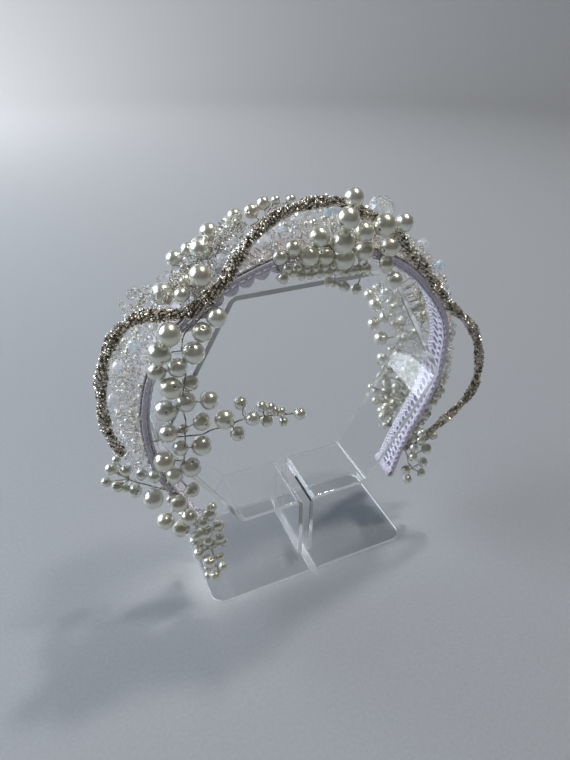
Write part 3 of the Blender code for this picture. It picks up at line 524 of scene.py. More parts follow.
def fixed_balls():
    """Places, radii and owners of the things that pearls keep off."""
    balls = [(row[:3], row[3] / 2, "bead_rope") for row in smooth_route(rope_rows(), FIXED_STEP)]
    for name, stem, _ in SPRAYS:
        route = smooth_route([ring_place(*row) for row in stem], FIXED_STEP)
        balls += [(place, STEM_RADIUS, name) for place in route]
    for angle, reach, depth, size in STONES_LEFT + STONES_RIGHT:
        balls.append((band_place(angle, reach, depth), size / 2, "crystal_bed"))
    angle, reach, depth, size = CROWN_CRYSTAL
    balls.append((ring_place(angle, reach, depth), size / 2, "crown_crystal"))
    return balls


def push_off_slab(place, radius, across, low, high, front, back):
    """Move a place out of a slab, whose height is measured along across, the short way."""
    room = radius + GAP
    height = float(place @ across)
    ways = (
        (height - low + room, -across),
        (high - height + room, across),
        (place[1] - front + room, np.array((0.0, -1.0, 0.0))),
        (back - place[1] + room, np.array((0.0, 1.0, 0.0))),
    )
    least, way = min(ways, key=lambda each: each[0])
    return place + way * least if least > 0 else place


def bed_limits(angle):
    """The bed's back and outer reach at an angle of its chart."""
    rows = np.array(BED_LEFT + BED_RIGHT)[::-1]
    back = float(np.interp(angle, rows[:, 0], rows[:, 1]))
    return back, float(np.interp(angle, rows[:, 0], rows[:, 2])) + BED_CROWN


def push_off_hard_pieces(place, radius):
    centre = np.array((0.0, 0.0, RING_HEIGHT))
    local = place - centre
    angle = math.degrees(math.atan2(local[2], local[0]))
    angle = angle + 360 if angle < -90 else angle
    arc = min(max(angle, ARC_START), ARC_END)
    out = np.array((math.cos(math.radians(arc)), 0.0, math.sin(math.radians(arc))))
    reaches = (course_reach(angle, BRAID_FRONT), course_reach(angle, BRAID_BACK))
    low, high = min(reaches), max(reaches) + BAND_TOP
    local = push_off_slab(local, radius, out, low, high, BRAID_FRONT, BRAID_BACK)
    back, outer = bed_limits(angle)
    low = min(reaches) + BED_BOTTOM
    local = push_off_slab(local, radius, out, low, outer, BED_FRONT, back)
    side = math.radians(HEXAGON_TURN * (math.floor(angle / HEXAGON_TURN) + 0.5))
    flat = np.array((math.cos(side), 0.0, math.sin(side)))
    apothem = HEXAGON_REACH * math.cos(math.radians(HEXAGON_TURN / 2))
    low, high, half = apothem - SHEET / 2, apothem + SHEET / 2, STRIP_DEPTH / 2
    local = push_off_slab(local, radius, flat, low, high, -half, half)
    return local + centre


def push(place, others, room, itself=None):
    """The move that takes a place out of the room of its nearest neighbours."""
    away = place - others
    distance = np.maximum(np.linalg.norm(away, axis=1), LEAST_DISTANCE)
    short = np.maximum(room - distance, 0.0)
    if itself is not None:
        short[itself] = 0.0
    return (away * (short / distance)[:, None]).sum(axis=0)


def settled_sprays():
    """Each spray's name with the settled places and sizes of its pearls, in millimetres."""
    names = [name for name, _, pearls in SPRAYS for _ in pearls]
    homes = np.array([ring_place(*row[:3]) for _, _, pearls in SPRAYS for row in pearls])
    radii = np.array([row[3] / 2 for _, _, pearls in SPRAYS for row in pearls])
    fixed = fixed_balls()
    fixed_places = np.array([ball[0] for ball in fixed])
    fixed_radii = np.array([ball[1] for ball in fixed])
    fixed_names = np.array([ball[2] for ball in fixed])
    places = homes.copy()
    for count in range(SETTLE_ROUNDS):
        if count < SETTLE_ROUNDS * 3 // 4:
            places += (homes - places) * PULL_BACK
        for one, name in enumerate(names):
            room = radii + radii[one] + np.where(np.array(names) == name, SAME_SPRAY_GAP, GAP)
            places[one] += push(places[one], places, room, one) / 2
            others = fixed_names != name
            room = fixed_radii[others] + radii[one] + GAP
            places[one] += push(places[one], fixed_places[others], room)
            places[one] = push_off_hard_pieces(places[one], radii[one])
    return {
        name: [(places[i], radii[i] * 2) for i in range(len(names)) if names[i] == name]
        for name, _, _ in SPRAYS
    }


# Shapes: each is (points in millimetres, faces), and many of them make one piece


def turned_shape(profile, sides, stagger=False):
    """A profile of (radius, height) turned round Z; with stagger, each row is half a step on."""
    points, rows = [], []
    for number, (radius, height) in enumerate(profile):
        if radius == 0:
            rows.append([len(points)])
            points.append((0.0, 0.0, height))
            continue
        shift = 0.5 * (number % 2) if stagger else 0.0
        row = []
        for side in range(sides):
            turn = math.tau * (side + shift) / sides
            row.append(len(points))
            points.append((radius * math.cos(turn), radius * math.sin(turn), height))
        rows.append(row)
    faces = []
    for number, (low, high) in enumerate(zip(rows, rows[1:])):
        for side in range(sides):
            after = (side + 1) % sides
            if len(low) == 1:
                faces.append((low[0], high[after], high[side]))
            elif len(high) == 1:
                faces.append((low[side], low[after], high[0]))
            elif not stagger:
                faces.append((low[side], low[after], high[after], high[side]))
            elif number % 2 == 0:
                faces.append((low[side], low[after], high[side]))
                faces.append((low[after], high[after], high[side]))
            else:
                faces.append((low[side], high[after], high[side]))
                faces.append((low[side], low[after], high[after]))
    return np.array(points), faces


def drilled_ball(sides, rows, hole):
    """A ball of radius 1 with a drill hole through it, rounded at its rims."""
    rim = math.asin(hole)
    profile = [(0.0, -0.55), (hole * 0.8, -0.6), (hole * 0.86, -math.cos(rim) + 0.05)]
    for row in range(rows + 1):
        turn = rim + (math.pi - 2 * rim) * row / rows
        profile.append((math.sin(turn), -math.cos(turn)))
    profile += [(hole * 0.86, math.cos(rim) - 0.05), (hole * 0.8, 0.6), (0.0, 0.55)]
    return turned_shape(profile, sides)


def faceted_bead(length, sides):
    """A cut bead of radius 1: a staggered belt of facets between two small tables."""
    profile = (
        (0.0, -0.88 * length), (0.3, -0.86 * length), (0.78, -0.55 * length), (1.0, -0.12 * length),
        (1.0, 0.12 * length), (0.78, 0.55 * length), (0.3, 0.86 * length), (0.0, 0.88 * length),
    )
    return turned_shape(profile, sides, stagger=True)


def bicone(sides):
    """A bead of radius 1 cut as two cones, with a narrow belt."""
    profile = ((0.0, -0.9), (0.22, -0.88), (0.97, -0.08), (0.97, 0.08), (0.22, 0.88), (0.0, 0.9))
    return turned_shape(profile, sides)


def seed_bead():
    """A cut seed bead of radius 1."""
    profile = ((0.0, -0.62), (0.62, -0.6), (1.0, -0.2), (0.62, 0.6), (0.0, 0.62))
    return turned_shape(profile, 6, stagger=True)


def put(shape, place, size, axis=(0, 0, 1), spin=0.0):
    """A unit shape scaled to a diameter, with its own Z along an axis, at a place."""
    points, faces = shape
    upright = Vector(axis).normalized().to_track_quat("Z", "Y")
    turn = upright @ Matrix.Rotation(spin, 3, "Z").to_quaternion()
    turned = points @ np.array(turn.to_matrix()).T
    return turned * (size / 2) + np.array(place), faces


def frames_along(route):
    """Two cross directions at each point of a route, carried along it without twist."""
    route = np.asarray(route, float)
    steps = np.gradient(route, axis=0)
    along = steps / np.maximum(np.linalg.norm(steps, axis=1), LEAST_LENGTH)[:, None]
    side = np.cross(along[0], (0.0, 1.0, 0.0))
    if np.linalg.norm(side) < 0.1:
        side = np.cross(along[0], (1.0, 0.0, 0.0))
    sides = []
    for direction in along:
        side = unit(side - direction * float(side @ direction))
        sides.append(side)
    sides = np.array(sides)
    return along, sides, np.cross(along, sides)


def ring_faces(rows, sides):
    """Faces of a closed tube whose points come in rows of one ring each."""
    faces = []
    for row in range(rows - 1):
        for side in range(sides):
            after = (side + 1) % sides
            low, high = row * sides, (row + 1) * sides
            faces.append((low + side, low + after, high + after, high + side))
    faces.append(tuple(range(sides))[::-1])
    faces.append(tuple((rows - 1) * sides + side for side in range(sides)))
    return faces


def tube(route, radius, sides=6):
    """A round tube along a route, with closed ends. radius may be a list, one for each point."""
    route = np.asarray(route, float)
    _, across, up = frames_along(route)
    radii = np.broadcast_to(np.asarray(radius, float), (len(route),))
    turns = math.tau * np.arange(sides) / sides
    ring = np.cos(turns)[None, :, None] * across[:, None, :] + np.sin(turns)[None, :, None] * up[:, None, :]
    points = (route[:, None, :] + ring * radii[:, None, None]).reshape(-1, 3)
    return points, ring_faces(len(route), sides)


def resampled(route, step):
    """The route with points at even steps."""
    route = np.asarray(route, float)
    lengths = np.concatenate([[0.0], np.cumsum(np.linalg.norm(np.diff(route, axis=0), axis=1))])
    count = max(2, int(round(lengths[-1] / step)) + 1)
    marks = np.linspace(0.0, lengths[-1], count)
    return np.stack([np.interp(marks, lengths, column) for column in route.T], axis=1)


def twisted_pair(route, gauge, start=0.0):
    """Two wires twisted together along a route."""
    route = resampled(route, TWIST_STEP)
    _, across, up = frames_along(route)
    turns = start + math.tau * TWIST_STEP * np.arange(len(route)) / TWIST_PITCH
    wires = []
    for half in (0.0, math.pi):
        swing = np.cos(turns + half)[:, None] * across + np.sin(turns + half)[:, None] * up
        wires.append(tube(route + swing * gauge * 0.95, gauge, 5))
    return wires


# Pieces


def mesh_piece(name, shapes, material, tints=None, smooth=True, replaced=()):
    """One piece of the object from many shapes. tints gives each shape a number for its material."""
    points = np.concatenate([shape[0] for shape in shapes])
    starts = np.cumsum([0] + [len(shape[0]) for shape in shapes[:-1]])
    faces = []
    for start, (_, shape_faces) in zip(starts, shapes):
        faces += [tuple(int(start) + corner for corner in face) for face in shape_faces]
    mesh = bpy.data.meshes.new(name)
    mesh.from_pydata(((points + MIDDLE) * MM).tolist(), [], faces)
    mesh.materials.append(material)
    if smooth:
        mesh.shade_smooth()
    if tints is not None:
        values = np.repeat(np.asarray(tints, np.float32), [len(shape[0]) for shape in shapes])
        mesh.attributes.new("tint", "FLOAT", "POINT").data.foreach_set("value", values)
    return ride_on_body(bpy.data.objects.new(name, mesh), replaced)


def ride_on_body(thing, replaced=()):
    if not thing.users_collection:
        bpy.context.scene.collection.objects.link(thing)
    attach(thing, BODY)
    if replaced:
        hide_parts(*replaced)
    return thing


# Materials


def shader_of(material):
    return material.node_tree.nodes["Principled BSDF"]


def new_material(name, colour, roughness, **sockets):
    """A Principled material; sockets are names with _ for a space."""
    material = bpy.data.materials.new(name)
    material.use_nodes = True
    shader = shader_of(material)
    shader.inputs["Base Color"].default_value = (*colour, 1.0)
    shader.inputs["Roughness"].default_value = roughness
    for socket, value in sockets.items():
        shader.inputs[socket.replace("_", " ")].default_value = value
    return material


def add_node(material, kind, inputs=None, **settings):
    node = material.node_tree.nodes.new(kind)
    for setting, value in settings.items():
        setattr(node, setting, value)
    for socket, value in (inputs or {}).items():
        node.inputs[socket].default_value = value
    return node


def join(material, source, output, target, socket):
    material.node_tree.links.new(source.outputs[output], target.inputs[socket])


def texture(material, kind, **inputs):
    """A texture node that follows the object's own coordinates."""
    node = add_node(material, "ShaderNodeTex" + kind, inputs)
    join(material, add_node(material, "ShaderNodeTexCoord"), "Object", node, "Vector")
    return node


def ramp(material, stops):
    """A colour ramp node with stops of (place, colour)."""
    node = add_node(material, "ShaderNodeValToRGB")
    elements = node.color_ramp.elements
    while len(elements) < len(stops):
        elements.new(0.5)
    for element, (place, colour) in zip(elements, stops):
        element.position = place
        element.color = (*colour, 1.0)
    return node


def colour_by(material, source, stops):
    """The base colour follows a node's factor."""
    colours = ramp(material, stops)
    join(material, source, "Fac", colours, "Fac")
    join(material, colours, "Color", shader_of(material), "Base Color")
    return colours


def colour_by_tint(material, stops):
    """The base colour follows each shape's own number."""
    tint = add_node(material, "ShaderNodeAttribute", attribute_name="tint")
    return colour_by(material, tint, stops)


def bumpy(material, texture, output, strength, distance):
    bump = add_node(material, "ShaderNodeBump", {"Strength": strength, "Distance": distance})
    join(material, texture, output, bump, "Height")
    join(material, bump, "Normal", shader_of(material), "Normal")


def let_lamps_through(material, share):
    """Lamps shine through the glass instead of leaving a black shadow."""
    tree = material.node_tree
    path = add_node(material, "ShaderNodeLightPath")
    clear = add_node(material, "ShaderNodeBsdfTransparent", {"Color": (share, share, share, 1.0)})
    mix = add_node(material, "ShaderNodeMixShader")
    join(material, path, "Is Shadow Ray", mix, 0)
    tree.links.new(shader_of(material).outputs[0], mix.inputs[1])
    tree.links.new(clear.outputs[0], mix.inputs[2])
    tree.links.new(mix.outputs[0], tree.nodes["Material Output"].inputs["Surface"])


def pearl_material():
    material = new_material(
        "ivory_pearl", (0.82, 0.78, 0.68), 0.3, Metallic=0.78,
        Coat_Weight=1.0, Coat_Roughness=0.15, Coat_IOR=1.55,
    )
    colour_by_tint(material, (
        (0.0, (0.86, 0.85, 0.71)), (0.4, (0.89, 0.88, 0.77)),
        (0.75, (0.89, 0.9, 0.82)), (1.0, (0.85, 0.79, 0.66)),
    ))
    nacre = texture(material, "Noise", Scale=900.0, Detail=3.0, Roughness=0.6)
    bumpy(material, nacre, "Fac", 0.06, 0.0002)
    return material


def wire_material():
    material = new_material("champagne_wire", (0.7, 0.64, 0.52), 0.3, Metallic=1.0)
    # A noise gives the wires dark and bright patches along their length.
    dark_bright_patches = texture(material, "Noise", Scale=500.0, Detail=2.0)
    colour_by(material, dark_bright_patches, ((0.35, (0.28, 0.24, 0.18)), (0.6, (0.82, 0.76, 0.62))))
    return material


def rope_material():
    material = new_material("smoky_gold_beads", (0.48, 0.4, 0.3), 0.2, Metallic=0.85, Coat_Weight=0.5)
    # Each bead takes a random tone from near black to cream; the palest also stand in for glints, a painted
    # highlight.
    colour_by_tint(material, (
        (0.0, (0.08, 0.066, 0.048)), (0.2, (0.26, 0.21, 0.15)), (0.4, (0.66, 0.58, 0.46)),
        (0.65, (0.88, 0.83, 0.72)), (1.0, (0.98, 0.96, 0.91)),
    ))
    return material


def glassy_material(name, clearness, index, sharpness, stops):
    material = new_material(
        name, (0.97, 0.97, 0.98), sharpness, Transmission_Weight=clearness, IOR=index,
        Coat_Weight=0.3, Coat_Roughness=0.03,
    )
    colour_by_tint(material, stops)
    let_lamps_through(material, 0.8)
    return material


def crystal_material():
    """Small clear beads, a few with a cool or a rosy cast."""
    return glassy_material("clear_crystal", 0.96, 1.22, 0.03, (
        (0.0, (0.97, 0.965, 0.945)), (0.7, (0.95, 0.945, 0.925)),
        (0.86, (0.93, 0.89, 0.88)), (1.0, (0.87, 0.93, 0.96)),
    ))


def stone_material():
    """The larger cut stones, coated so that they flash blue and rose."""
    material = glassy_material("flashing_stone", 0.6, 1.6, 0.02, (
        (0.0, (0.97, 0.97, 0.98)), (0.6, (0.9, 0.94, 0.98)), (1.0, (0.72, 0.88, 0.97)),
    ))
    shader = shader_of(material)
    shader.inputs["Coat Weight"].default_value = 1.0
    shader.inputs["Thin Film Thickness"].default_value = 330.0
    shader.inputs["Thin Film IOR"].default_value = 1.8
    return material


def cut_glass_material():
    """The large clear bead, whose facets bend what is behind it."""
    material = new_material(
        "cut_glass", (0.98, 0.985, 0.98), 0.01, Transmission_Weight=0.86, IOR=1.5, Coat_Weight=1.0,
    )
    let_lamps_through(material, 0.8)
    return material


def acrylic_material():
    material = new_material(
        "clear_acrylic", (0.995, 0.998, 1.0), 0.015, Transmission_Weight=1.0, IOR=1.15,
        Coat_Weight=0.6, Coat_Roughness=0.02, Coat_IOR=1.49,
    )
    haze = texture(material, "Noise", Scale=35.0, Detail=4.0)
    spread = ramp(material, ((0.4, (0.008, 0.008, 0.008)), (0.75, (0.04, 0.04, 0.04))))
    join(material, haze, "Fac", spread, "Fac")
    shader = shader_of(material)
    join(material, spread, "Color", shader, "Roughness")
    # The marked cut edges let less light through and show the white base colour: a painted highlight for the
    # light that clear edges catch.
    cut = add_node(material, "ShaderNodeAttribute", attribute_name="edge_highlight")
    clearness = ramp(material, ((0.0, (1.0, 1.0, 1.0)), (1.0, (0.12, 0.12, 0.12))))
    join(material, cut, "Fac", clearness, "Fac")
    join(material, clearness, "Color", shader, "Transmission Weight")
    let_lamps_through(material, 0.98)
    return material


def braid_material():
    """Lilac yarn: the woven ground is painted much darker than the cords on it, as painted shade in the gaps
    between them.
    """
    material = new_material(
        "lilac_braid", (0.7, 0.66, 0.76), 0.8, Sheen_Weight=0.4, Sheen_Roughness=0.4,
    )
    # Tint 0 is the woven ground, painted near-black lilac as painted shade in the gaps between the cords.
    cords = colour_by_tint(material, (
        (0.0, (0.22, 0.2, 0.26)), (0.5, (0.54, 0.5, 0.6)), (1.0, (0.76, 0.72, 0.8)),
    ))
    threads = texture(material, "Wave", Scale=700.0, Distortion=6.0, Detail=2.0)
    shade = ramp(material, ((0.0, (0.78, 0.77, 0.8)), (1.0, (1.0, 1.0, 1.0))))
    join(material, threads, "Fac", shade, "Fac")
    mix = add_node(material, "ShaderNodeMix", data_type="RGBA", blend_type="MULTIPLY")
    mix.inputs["Factor"].default_value = 1.0
    join(material, cords, "Color", mix, MIX_FIRST)
    join(material, shade, "Color", mix, MIX_SECOND)
    join(material, mix, MIX_RESULT, shader_of(material), "Base Color")
    bumpy(material, threads, "Fac", 0.5, 0.00015)
    return material


def band_material():
    material = new_material("band_metal", (0.12, 0.1, 0.09), 0.45, Metallic=0.4)
    brushed = texture(material, "Noise", Scale=220.0, Detail=4.0)
    colour_by_tint(material, ((0.0, (0.11, 0.09, 0.085)), (1.0, (0.5, 0.47, 0.5))))
    bumpy(material, brushed, "Fac", 0.15, 0.0001)
    return material


def stage_material():
    material = new_material("studio_grey", (0.33, 0.345, 0.37), 0.6, Specular_IOR_Level=0.25)
    grain = texture(material, "Noise", Scale=700.0, Detail=2.0)
    colour_by(material, grain, ((0.3, (0.32, 0.335, 0.362)), (0.7, (0.345, 0.36, 0.388))))
    return material


# Camera, stage and light


def make_camera():
    yaw, pitch, roll = (math.radians(turn) for turn in (CAMERA_YAW, CAMERA_PITCH, CAMERA_ROLL))
    forward = Vector((
        -math.sin(yaw) * math.cos(pitch), math.cos(yaw) * math.cos(pitch), -math.sin(pitch),
    ))
    level = Vector((math.cos(yaw), math.sin(yaw), 0.0))
    upright = level.cross(forward)
    right = level * math.cos(roll) + upright * math.sin(roll)
    up = upright * math.cos(roll) - level * math.sin(roll)
    data = bpy.data.cameras.new("camera")
    data.sensor_width = SENSOR
    data.lens = LENS
    data.clip_start = 0.01
    data.clip_end = 50.0
    camera = bpy.data.objects.new("camera", data)
    bpy.context.scene.collection.objects.link(camera)
    turn = Matrix((right, up, -forward)).transposed().to_4x4()
    camera.matrix_world = Matrix.Translation(Vector((np.array(CAMERA_PLACE) + MIDDLE) * MM)) @ turn
    bpy.context.scene.camera = camera


def make_stage():
    """One floor all round, which curves up into a wall on the far side of the object."""
    profile = [(0.0, 0.0), (SWEEP_FLOOR, 0.0)]
    for step in range(1, CURVE_STEPS + 1):
        turn = math.pi / 2 * step / CURVE_STEPS
        profile.append((SWEEP_FLOOR + SWEEP_CURVE * math.sin(turn), SWEEP_CURVE * (1 - math.cos(turn))))
    profile.append((SWEEP_FLOOR + SWEEP_CURVE, SWEEP_TOP))
    points, faces = [], []
    for side in range(SWEEP_SIDES):
        around = 360.0 * side / SWEEP_SIDES - 180.0
        share = min(max((SWEEP_HALF_ANGLE - abs(around)) / SWEEP_FADE, 0.0), 1.0)
        raised = share * share * (3 - 2 * share)
        turn = math.radians(SWEEP_MIDDLE_ANGLE + around)
        for number, (reach, height) in enumerate(profile):
            if number == len(profile) - 1:
                reach += FLOOR_BEYOND * (1 - raised)
            points.append((reach * math.cos(turn), reach * math.sin(turn), height * raised))
    rows = len(profile)
    for side in range(SWEEP_SIDES):
        here, there = side * rows, (side + 1) % SWEEP_SIDES * rows
        for low in range(rows - 1):
            faces.append((here + low, here + low + 1, there + low + 1, there + low))
    mesh = bpy.data.meshes.new("studio_sweep")
    mesh.from_pydata(points, [], faces)
    mesh.validate()
    mesh.shade_smooth()
    mesh.materials.append(stage_material())
    sweep = bpy.data.objects.new("studio_sweep", mesh)
    bpy.context.scene.collection.objects.link(sweep)


def make_lights():
    for name, place, target, width, height, power, colour, glossy, spread in LIGHTS:
        data = bpy.data.lights.new(name, "AREA")
        data.shape = "RECTANGLE"
        data.size = width
        data.size_y = height
        data.energy = power
        data.color = colour
        data.spread = math.radians(spread)
        lamp = bpy.data.objects.new(name, data)
        lamp.visible_camera = False
        lamp.visible_glossy = glossy
        lamp.visible_transmission = glossy
        bpy.context.scene.collection.objects.link(lamp)
        lamp.location = place
        lamp.rotation_euler = (Vector(place) - Vector(target)).to_track_quat("Z", "Y").to_euler()
    world = bpy.data.worlds.new("studio")
    world.use_nodes = True
    world.node_tree.nodes["Background"].inputs["Color"].default_value = (*AMBIENT, 1.0)
    bpy.context.scene.world = world
    bpy.context.scene.view_settings.view_transform = "Standard"


# Display stand


def rounded(corners, radius, steps):
    """A path whose inner corners are turned into arcs."""
    corners = [Vector(corner) for corner in corners]
    path = [corners[0]]
    for before, corner, after in zip(corners, corners[1:], corners[2:]):
        back = (before - corner).normalized()
        forth = (after - corner).normalized()
        half = back.angle(forth) / 2
        centre = corner + (back + forth).normalized() * radius / math.sin(half)
        first = corner + back * radius / math.tan(half) - centre
        last = corner + forth * radius / math.tan(half) - centre
        for step in range(steps + 1):
            path.append(centre + first.slerp(last, step / steps).normalized() * radius)
    return [*path, corners[-1]]


def strip_outline(path, thickness):
    """The closed outline of a strip of even thickness along a path."""
    sides = ([], [])
    for index, point in enumerate(path):
        before = path[max(index - 1, 0)]
        after = path[min(index + 1, len(path) - 1)]
        along = (after - before).normalized()
        across = Vector((-along.y, along.x)) * thickness / 2
        sides[0].append(point + across)
        sides[1].append(point - across)
    return sides[0] + sides[1][::-1]


def strip_path():
    """Up the left neck, round the hexagon and down the right neck, seen from the front."""
    reach = HEXAGON_REACH
    corner_height = reach * math.sin(math.radians(HEXAGON_TURN))
    shelf = RING_HEIGHT - corner_height
    right = [
        (reach / 2, RING_HEIGHT + corner_height),
        (reach, RING_HEIGHT),
        (reach / 2, shelf),
        (NECK_X, shelf),
        (NECK_X, SHEET / 2),
    ]
    left = [(-across, up) for across, up in right[::-1]]
    return rounded(left + right, BEND_RADIUS, BEND_STEPS)


def foot_outline(side):
    """A foot from above: square at the neck, with rounded outer corners."""
    inner = NECK_X - SHEET / 2
    half = FOOT_DEPTH / 2
    corners = [(inner, -half), (FOOT_REACH, -half), (FOOT_REACH, half), (inner, half)]
    return [(side * point.x, point.y) for point in rounded(corners, FOOT_CORNER, CORNER_STEPS)]


def plate(outline, depth, lift, flat):
    """A closed sheet of an outline: flat on the floor, or upright and facing the front."""
    bm = bmesh.new()
    for level in (-depth / 2, depth / 2):
        ring = []
        for across, up in outline:
            place = (across, up, lift + level) if flat else (across, lift - level, up)
            ring.append(bm.verts.new(Vector(place) * MM))
        if level < 0:
            first = ring
    last = ring
    bm.faces.new(first)
    bm.faces.new(last)
    for side in range(len(first)):
        after = (side + 1) % len(first)
        bm.faces.new((first[side], first[after], last[after], last[side]))
    bmesh.ops.recalc_face_normals(bm, faces=bm.faces)
    mesh = bpy.data.meshes.new("plate")
    bm.to_mesh(mesh)
    bm.free()
    thing = bpy.data.objects.new("plate", mesh)
    bpy.context.scene.collection.objects.link(thing)
    return thing


def mark_highlit_edges(mesh):
    """Mark the cut edges of the strip and of both feet, which are painted whitish as a painted highlight for
    the light that clear edges catch.
    """
    edge_highlight = []
    for face in mesh.polygons:
        foot_side = face.center.z < SHEET * MM and abs(face.normal.z) < 0.3
        inner_face = abs(face.center.x / MM - STAND_X) < 2 * NECK_X
        if abs(face.normal.y) > 0.9 and not foot_side:
            edge_highlight.append(STRIP_EDGE_HIGHLIGHT)
        else:
            edge_highlight.append(FOOT_EDGE_HIGHLIGHT if foot_side and not inner_face else 0.0)
    mesh.attributes.new("edge_highlight", "FLOAT", "FACE").data.foreach_set("value", edge_highlight)


def display_stand(material):
    """The bent strip and both feet as one clear solid with slightly rounded edges."""
    body = plate(strip_outline(strip_path(), SHEET), STRIP_DEPTH, 0.0, False)
    feet = [plate(foot_outline(side), SHEET, SHEET / 2, True) for side in (-1, 1)]
    for foot in feet:
        union = body.modifiers.new("union", "BOOLEAN")
        union.operation = "UNION"
        union.solver = "EXACT"
        union.object = foot
    rounding = body.modifiers.new("rounding", "BEVEL")
    rounding.width = EDGE_ROUNDING * MM
    rounding.segments = 2
    rounding.limit_method = "ANGLE"
    rounding.angle_limit = math.radians(ROUNDED_ANGLE)
    scene_graph = bpy.context.evaluated_depsgraph_get()
    mesh = bpy.data.meshes.new_from_object(body.evaluated_get(scene_graph))
    for helper in (body, *feet):
        bpy.data.objects.remove(helper, do_unlink=True)
    mesh.transform(Matrix.Translation(Vector(MIDDLE * MM)))
    mesh.materials.clear()
    mesh.materials.append(material)
    mark_highlit_edges(mesh)
    stand = bpy.data.objects.new("clear_stand", mesh)
    ride_on_body(stand, ["display_stand"])


# Band and braid


def band_run(step):
    """Chart angles at even steps along the whole band, straight legs included."""
    leg = math.degrees(LEG_LENGTH / LEG_REACH)
    first, last = ARC_START - leg, ARC_END + leg
    count = round(math.radians(last - first) * LEG_REACH / step)
    return np.linspace(first, last, count + 1)


def swept_strip(angles, section):
    """A closed strip whose section is a ring of (height over the course, depth)."""
    rings = [[over_band(angle, height, depth) for height, depth in section] for angle in angles]
    return np.array(rings).reshape(-1, 3), ring_faces(len(angles), len(section))


def rounded_section(bottom, top, front, back, corner):
    """A strip's section with rounded corners."""
    section = []
    corners = ((bottom, front, 180), (top, front, 270), (top, back, 0), (bottom, back, 90))
    for height, depth, start in corners:
        centre_height = height + (corner if height == bottom else -corner)
        centre_depth = depth + (corner if depth == front else -corner)
        for step in range(4):
            turn = math.radians(start + 30 * step)
            section.append((centre_height + corner * math.cos(turn), centre_depth + corner * math.sin(turn)))
    return section


def metal_band(material):
    """The dark band, with a pale padding on its outer face."""
    band = rounded_section(BAND_BOTTOM, BAND_TOP, BAND_FRONT, BAND_BACK, BAND_CORNER)
    inset = PADDING_INSET
    padding = rounded_section(
        BAND_TOP - inset, BAND_TOP + PADDING, BAND_FRONT + inset, BAND_BACK - inset, inset,
    )
    shapes = [swept_strip(band_run(BAND_STEP), section) for section in (band, padding)]
    mesh_piece("metal_band", shapes, material, [0.0, 1.0], replaced=["band"])


def band_wraps():
    """Wire wound over the band's outer face and down its front edge."""
    wires = []
    for number, angle in enumerate(band_run(WRAP_PITCH)[2:-2]):
        lean = 0.9 + 0.3 * math.sin(number * 1.7)
        loop = (
            (angle, BAND_BOTTOM + 0.1, BAND_FRONT - 0.1),
            (angle + 0.2 * lean, BAND_TOP, BAND_FRONT - 0.15),
            (angle + 0.5 * lean, BAND_TOP + WRAP_LIFT, BAND_FRONT + WRAP_LIFT),
            (angle + 1.6 * lean, BAND_TOP + WRAP_LIFT, BAND_BACK - WRAP_LIFT),
        )
        wires.append(tube([over_band(*place) for place in loop], WRAP_GAUGE, 5))
    return wires


def braid_route(places):
    """Millimetre places for rows of (run along the band, height over the course, depth)."""
    return [
        over_band(BRAID_START + math.degrees(run / LEG_REACH), height, depth)
        for run, height, depth in places
    ]


def scroll_cord(centre, half, curl):
    """A cord that curls in a row of loops along the band."""
    rows = []
    count = int((BRAID_LENGTH - 2 * SCROLL_PITCH) / SCROLL_PITCH)
    for step in range(count * SCROLL_STEPS + 1):
        turn = math.tau * step / SCROLL_STEPS
        curled = curl * math.sin(turn) - SCROLL_LEAN * math.cos(turn)
        over = SCROLL_LIFT * (0.5 + 0.5 * math.cos(turn - 0.9))
        run = SCROLL_PITCH * (1 + turn / math.tau) - curled
        rows.append((run, CORD + 0.5 - over, centre + half * math.cos(turn)))
    return braid_route(rows)


def edge_cord(first, last, edge, out, level, drop, pitch):
    """A cord that runs in scallops along one edge of the braid, between two places on its run."""
    rows = []
    count = int((last - first) / pitch)
    for step in range(count * EDGE_STEPS + 1):
        bulge = abs(math.sin(math.pi * step / EDGE_STEPS)) ** 0.7
        rows.append((first + pitch * step / EDGE_STEPS, level - drop * bulge, edge + out * bulge))
    return braid_route(rows)


def knitted_cord(depth, level, phase):
    """A cord that winds lengthwise through the braid."""
    rows = []
    count = int(BRAID_LENGTH / KNIT_STEP)
    for step in range(count + 1):
        run = BRAID_LENGTH * step / count
        wave = math.tau * run / KNIT_PITCH + phase
        rows.append((run, level + KNIT_LIFT * math.cos(wave), depth + KNIT_SWING * math.sin(wave)))
    return braid_route(rows)


def rolled_end(run):
    """The braid's end, turned over into a soft roll of cords."""
    shapes = []
    turns = np.linspace(0.0, math.tau, ROLL_STEPS + 1)[:-1]
    for number in range(ROLL_CORDS):
        depth = BRAID_FRONT - 0.1 + number * (BRAID_BACK - BRAID_FRONT + 0.2) / (ROLL_CORDS - 1)
        swell = 1.0 + 0.14 * math.sin(number * 2.1)
        loop = []
        for turn in (*turns, turns[0]):
            height = ROLL_MIDDLE + ROLL_HEIGHT * swell * math.sin(turn)
            along = run + ROLL_LENGTH * swell * math.cos(turn)
            loop.append((along, height, depth + 0.4 * math.sin(turn * 2)))
        shapes.append(tube(braid_route(loop), ROLL_CORD, 6))
    return shapes


